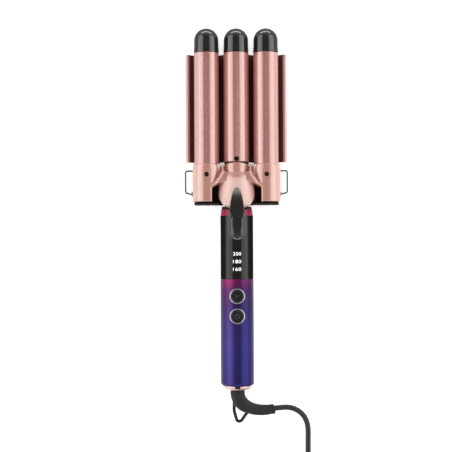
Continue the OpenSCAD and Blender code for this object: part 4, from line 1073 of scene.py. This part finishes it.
collar = turned("collar_ring", [
    (0, sleeve_top - 1), (core_r, sleeve_top - 1), (core_r, band_top + 0.02),
    (collar_r - 0.1, band_top + 0.02), (collar_r, band_top + 0.2),
    (collar_r - 0.45, collar_top - 0.35), (collar_r - 0.8, collar_top), (0, collar_top)],
    handle_axis, steps=128)
neck_slot = (0, 0, 10), (17.2, 60, 10.8)
cut(collar, hollow_for_dome(), block(*neck_slot))
settled(collar, "top_collar", "iron", "top_collar")
band = turned("magenta_ring", [
    (bore_r, sleeve_top), (sleeve_r - 0.1, sleeve_top), (sleeve_r, sleeve_top + 0.15),
    (collar_r + 0.25, band_top - 0.2), (collar_r, band_top), (bore_r, band_top)],
    handle_axis, steps=128, closed=True)
settled(cut(band, hollow_for_dome()), "magenta_band", "iron", "magenta_band")
sleeve = turned("display_tube", [
    (bore_r, grip_top), (sleeve_r - 0.2, grip_top), (sleeve_r, grip_top + 0.25),
    (sleeve_r, sleeve_top - 0.25), (sleeve_r - 0.2, sleeve_top), (bore_r, sleeve_top)],
    handle_axis, steps=160, closed=True)
settled(sleeve, "display_sleeve", "iron", "display_sleeve")

# %% [markdown]
# ## Lit numbers
# Three temperatures shine through the black sleeve: 200, 180 and 160. They are set as text, turned
# into a mesh, sliced finely across so that they can bend, and laid onto the round sleeve point by
# point. A picture on the sleeve would need an image, and flat text would stand off at its sides.

# %% Set the numbers
lit, tree, shader = material("lit_number")
put(shader, Base_Color=(0.9, 0.9, 0.9, 1), Emission_Strength=0.8)
hot = add(tree, "TexNoise", Scale=1800)
tree.links.new(mixed(tree, hot.outputs["Fac"], (1, 1, 1, 1), (0.82, 0.86, 0.9, 1)),
               shader.inputs["Emission Color"])


def number(text, y, width=8, height=3.4):
    """A number wrapped round the sleeve, centred at y."""
    piece = begun(bpy.ops.object.text_add, "number_" + text, location=(0, 0, 0))
    piece.data.body, piece.data.align_x, piece.data.align_y = text, "CENTER", "CENTER"
    piece.data.space_character, piece.data.offset = 1.12, 0.004
    bpy.ops.object.convert(target="MESH")
    piece = bpy.context.object
    piece.name = piece.data.name = "number_" + text
    xs, ys = ([v.co[i] for v in piece.data.vertices] for i in (0, 1))
    edit(piece)
    bpy.ops.transform.translate(value=(-(max(xs) + min(xs)) / 2, -(max(ys) + min(ys)) / 2, 0))
    bpy.ops.transform.resize(value=(width / (max(xs) - min(xs)) / 1000,
                                    height / (max(ys) - min(ys)) / 1000, 1),
                             center_override=(0, 0, 0))
    for i in range(-7, 8):
        bpy.ops.mesh.select_all(action="SELECT")
        bpy.ops.mesh.bisect(plane_co=mm(i * 0.6, 0, 0), plane_no=(1, 0, 0))
    close()
    lifted = sleeve_r + 0.03
    for vertex in piece.data.vertices:
        a = vertex.co.x * 1000 / sleeve_r
        up = handle_z + lifted * math.cos(a)
        vertex.co = mm(lifted * math.sin(a), vertex.co.y * 1000 + y, up)
    applied(piece, "SOLIDIFY", thickness=0.00005, offset=0)
    piece.data.materials.append(lit)
    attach(piece, "iron")
    print(piece.name, len(piece.data.polygons), "faces")


first_row, row_step = sleeve_top - 37.8, 7.6
for row, text in enumerate(("200", "180", "160")):
    number(text, first_row - row_step * row)

# %% [markdown]
# ## Grip
# The grip is one smooth tube of lacquered plastic with a rounded foot. Its colour runs from magenta
# at the top through violet to blue. The colour is a ramp along Y in the finish, with colours across
# it that paint shade on the two sides, darker towards the rims and the right side darker and bluer,
# so the tube itself stays plain: a closed wall profile, with two round holes for the buttons.

# %% Turn the grip
tail_foot, tail_r = span("tail_ring")[0].y, span("tail_ring")[1].x
foot_r = tail_r + 0.2
grip = turned("grip_tube", [(foot_r, grip_foot + 2), (foot_r, grip_foot)]
              + arc(grip_r - 3, grip_foot + 3, 3, 3, range(-90, 1, 9))
              + [(grip_r, y) for y in range(-170, -72, 3)]
              + [(grip_r, grip_top - 0.25), (grip_r - 0.25, grip_top), (bore_r, grip_top),
                 (bore_r, grip_foot + 2)], handle_axis, steps=192, closed=True)
button_hole_r = 7.65
button_y = [(low.y + high.y) / 2 for low, high in map(span, ("upper_button", "lower_button"))]
cut(grip, *[drill(0, y, handle_z, handle_z + 30, button_hole_r, 96) for y in button_y])
settled(grip, "grip_shell", "iron", "grip_shell")

# %% [markdown]
# ## Buttons and their rings
# Two black buttons with a slightly hollow face sit in bright plated rings. The photograph shows
# faint marks on them, too small to read, so the lower one carries the common power mark and the
# upper one a plain slanted stroke, both as thin raised lines of a slightly paler black.

# %% Turn the rings and the buttons
ring_low, ring_top = span("button_rings")[0].z, span("button_rings")[1].z
ring_in, ring_out = 6.4, 7.6
ring_mid, ring_half = (ring_in + ring_out) / 2, (ring_out - ring_in) / 2
face_z, stem_z = span("upper_button")[1].z, span("upper_button")[0].z
dish_r, dish_deep, flange, stem_top = 5.3, 0.45, ring_low - 0.3, ring_low - 1.5
axis_point, to_lower = (0, button_y[0], 0), (0, button_y[1] - button_y[0], 0)
ring = turned("button_ring_upper", [(ring_in, ring_low), (ring_out, ring_low)]
              + arc(ring_mid, ring_top - ring_half, ring_half, ring_half, range(0, 181, 18)),
              axis_point, axis="Z", closed=True)
for piece in (ring, copied(ring, "button_ring_lower", to_lower)):
    settled(piece, "button_rings", "iron", "button_rings")
button = turned("button_upper", [
    (0, stem_z), (2, stem_z), (2, stem_top), (7, stem_top), (7, flange), (6.3, flange),
    (6.3, face_z - 0.5), (6.1, face_z - 0.15), (5.75, face_z)]
    + arc(0, face_z, dish_r, -dish_deep, range(0, 91, 10)), axis_point, axis="Z")
lower = copied(button, "button_lower", to_lower)
for piece, body in ((button, "upper_button"), (lower, "lower_button")):
    settled(piece, "buttons", body, body, angle=40)

# %% Raise the marks
mark_ink, tree, shader = material("mark_ink")
put(shader, Roughness=0.5)
grey = add(tree, "TexNoise", Scale=2500)
tree.links.new(mixed(tree, grey.outputs["Fac"], rgb(104, 102, 104), rgb(84, 82, 84)),
               shader.inputs["Base Color"])


def mark(name, strokes, body, y):
    """Thin strokes, each a line of (x, y) points in mm, lying in a button's hollow face."""
    made = []
    for i, stroke in enumerate(strokes):
        points = []
        for px, py in stroke:
            r = min(math.hypot(px, py), dish_r - 0.01)
            sunk = dish_deep * math.sqrt(1 - (r / dish_r) ** 2)
            points.append((px, y + py, face_z - sunk + 0.02))
        made.append(solid(wire(name + str(i), points, 0.2, steps=2, sides=2), name + str(i)))
    only(made[0])
    for piece in made:
        piece.select_set(True)
    bpy.ops.object.join()
    piece = bpy.context.object
    piece.name = piece.data.name = name
    piece.data.materials.append(mark_ink)
    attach(piece, body)
    print(name, len(piece.data.polygons), "faces")


power = arc(0, 0, 2.3, 2.3, range(50, -231, -20))
mark("mark_lower", [power, [(0, 0.4), (0, 1.6), (0, 2.8)]], "lower_button", button_y[1])
mark("mark_upper", [[(-2, -1.4), (0, 0), (2, 1.4)], [(-2.3, 1.1), (-0.9, 1.9)]], "upper_button",
     button_y[0])

# %% [markdown]
# ## Tail ring, boot and hanging loop
# A rose-gold ring closes the grip. Out of it comes a soft rubber boot that guides the cord down to
# the table, thins towards the cord, and ends in a small bead. A moulded loop to hang it by hangs
# beside it. Boot and loop are curves with their own thickness from point to point.

# %% Turn the ring, draw out the boot and the loop
ring_seat, ring_end = grip_foot + 2.1, grip_foot + 4
ring = turned("tail_ring_cap", [
    (7.35, ring_end), (7.35, tail_foot), (tail_r - 3.8, tail_foot),
    (tail_r - 2.6, tail_foot + 0.35), (tail_r - 1.3, tail_foot + 1.3),
    (tail_r - 0.4, tail_foot + 2.5), (tail_r, tail_foot + 3.6), (tail_r, ring_seat),
    (core_r, ring_seat), (core_r, ring_end)], handle_axis, closed=True)
notch = (0, grip_foot - 0.4, handle_z + tail_r), (4.8, 4, 3.4)
cut(ring, block(*notch))
settled(ring, "tail_ring", "iron", "tail_ring")
ring.data.materials.append(finishes["rubber"])
for face in ring.data.polygons:
    x, y, z = (v * 1000 for v in face.center)
    if abs(x) < 2.5 and y > grip_foot - 2.5 and -2 < z - handle_z - tail_r < 1:
        face.material_index = 1
boot = [(0, 8, 0, 9.2), (0, 6.02, 0, 9.2), (0, 6, 0, 7.2), (0, 0, 0, 7.2), (0.6, -7, -0.2, 7.15),
        (4.4, -13.8, -1.2, 6.98), (13.5, -19.3, -4.3, 5.9), (25.1, -21.6, -7.7, 5.3),
        (34.1, -21.2, -9.9, 4.75), (34.5, -21.15, -9.97, 4.95), (35.6, -20.95, -10.2, 5.1),
        (36.4, -20.8, -10.4, 4.95), (36.8, -20.7, -10.5, 3.6)]
tail_mid = Vector((0, tail_foot, handle_z))
boot = wire("boot", [tuple(tail_mid + Vector(point)) for *point, r in boot], 1,
            [r for *point, r in boot], steps=8, sides=12)
settled(solid(boot, "cord_boot_sleeve"), "rubber", "iron", "cord_boot", angle=45)
loop = bent([(-3.5, -8), (-3.5, -23), (-0.42, -35.2), (3.62, -34.1), (12.52, -20.44)],
            [2.1, 2.8, 2.4])
lean = math.asin(7 / 25)
loop = wire("loop", [(x, tail_foot + y * math.cos(lean), handle_z - 1 + y * math.sin(lean))
                     for x, y in loop], 1.65, steps=3)
settled(solid(loop, "hang_loop_strand"), "rubber", "iron", "hang_loop", angle=45)

# %% [markdown]
# ## Strap, plug and pins
# The photograph cuts the cord off, so its far end is the usual one: the spare length lies in a
# coil, a woven strap with a lapped end holds it, and it ends in a plug with two round pins. The
# strap is a bent line widened to a band and thickened. The pins have a shallow groove where their
# sleeve ends.

# %% Strap and plug
low, high = span("cord_tie")
band_t, lap, inset = 0.6, 0.75, 0.35
left, right, foot, head = low.x + inset, high.x - inset, 0.3, high.z - inset
middle_x = (left + right) / 2
band_line = bent([(middle_x + 5, head), (left, head), (left, foot), (right, foot),
                  (right, head + lap), (middle_x - 7, head + lap)], [2.2, 1.4, 1.4, 2.6])
strap = drawn_line("strap_band", [(x, low.y, z) for x, z in band_line], False)
edit(strap)
pulled(mm(0, high.y - low.y, 0))
close()
applied(strap, "SOLIDIFY", thickness=band_t / 1000, offset=0)
eased(tidy(strap), 0.15, 2, 50)
settled(strap, "cord_tie", "iron", "cord_tie", angle=40)
plug = moulded("plug_shell", "plug_body", 0.5, 5)
settled(plug, "plug_body", "iron", "plug_body", angle=60)

# %% Turn the pins
low, high = span("plug_pins")
pin_r, pin_z = (high.z - low.z) / 2, (high.z + low.z) / 2
pin_profile = [(pin_r - slim, low.x + along) for slim, along in [
    (pin_r, 0), (1, 0), (0.5, 0.3), (0.12, 1), (0, 1.9), (0, 8.6), (0.15, 8.75), (0.15, 9.05),
    (0, 9.2)]] + [(pin_r, high.x), (0, high.x)]
pin_high = turned("pin_upper", pin_profile, (0, high.y - pin_r, pin_z), axis="X", steps=48)
pin_low = copied(pin_high, "pin_lower", (0, low.y - high.y + 2 * pin_r, 0))
for piece in (pin_high, pin_low):
    settled(piece, "plug_pins", "iron", "plug_pins")

# %% [markdown]
# ## Flags on the low lamp
# A photographer keeps a low, hard lamp off the parts that it would spoil with black cards, called
# flags. Without them this lamp draws a thin bright line along each edge of the housing, where the
# photograph has none. So it is linked to what it may light: the tips, the lever and the floor.

# %% Flag the low lamp
may_light = bpy.data.collections.new("lit_by_tip_softbox")
for piece in (middle_tip, right_tip, left_tip, thumb_lever, floor):
    may_light.objects.link(piece)
tip_softbox.light_linking.receiver_collection = may_light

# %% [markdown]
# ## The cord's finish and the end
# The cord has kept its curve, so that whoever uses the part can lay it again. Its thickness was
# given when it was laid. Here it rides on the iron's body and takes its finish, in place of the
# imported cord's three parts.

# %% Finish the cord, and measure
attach(cord, "iron")
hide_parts("cord_run", "cord_coil", "cord_tail")
cord.data.materials.append(finishes["cord"])
low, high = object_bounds()
print("visual box in metres:", [round(v, 4) for v in (*low, *high)])
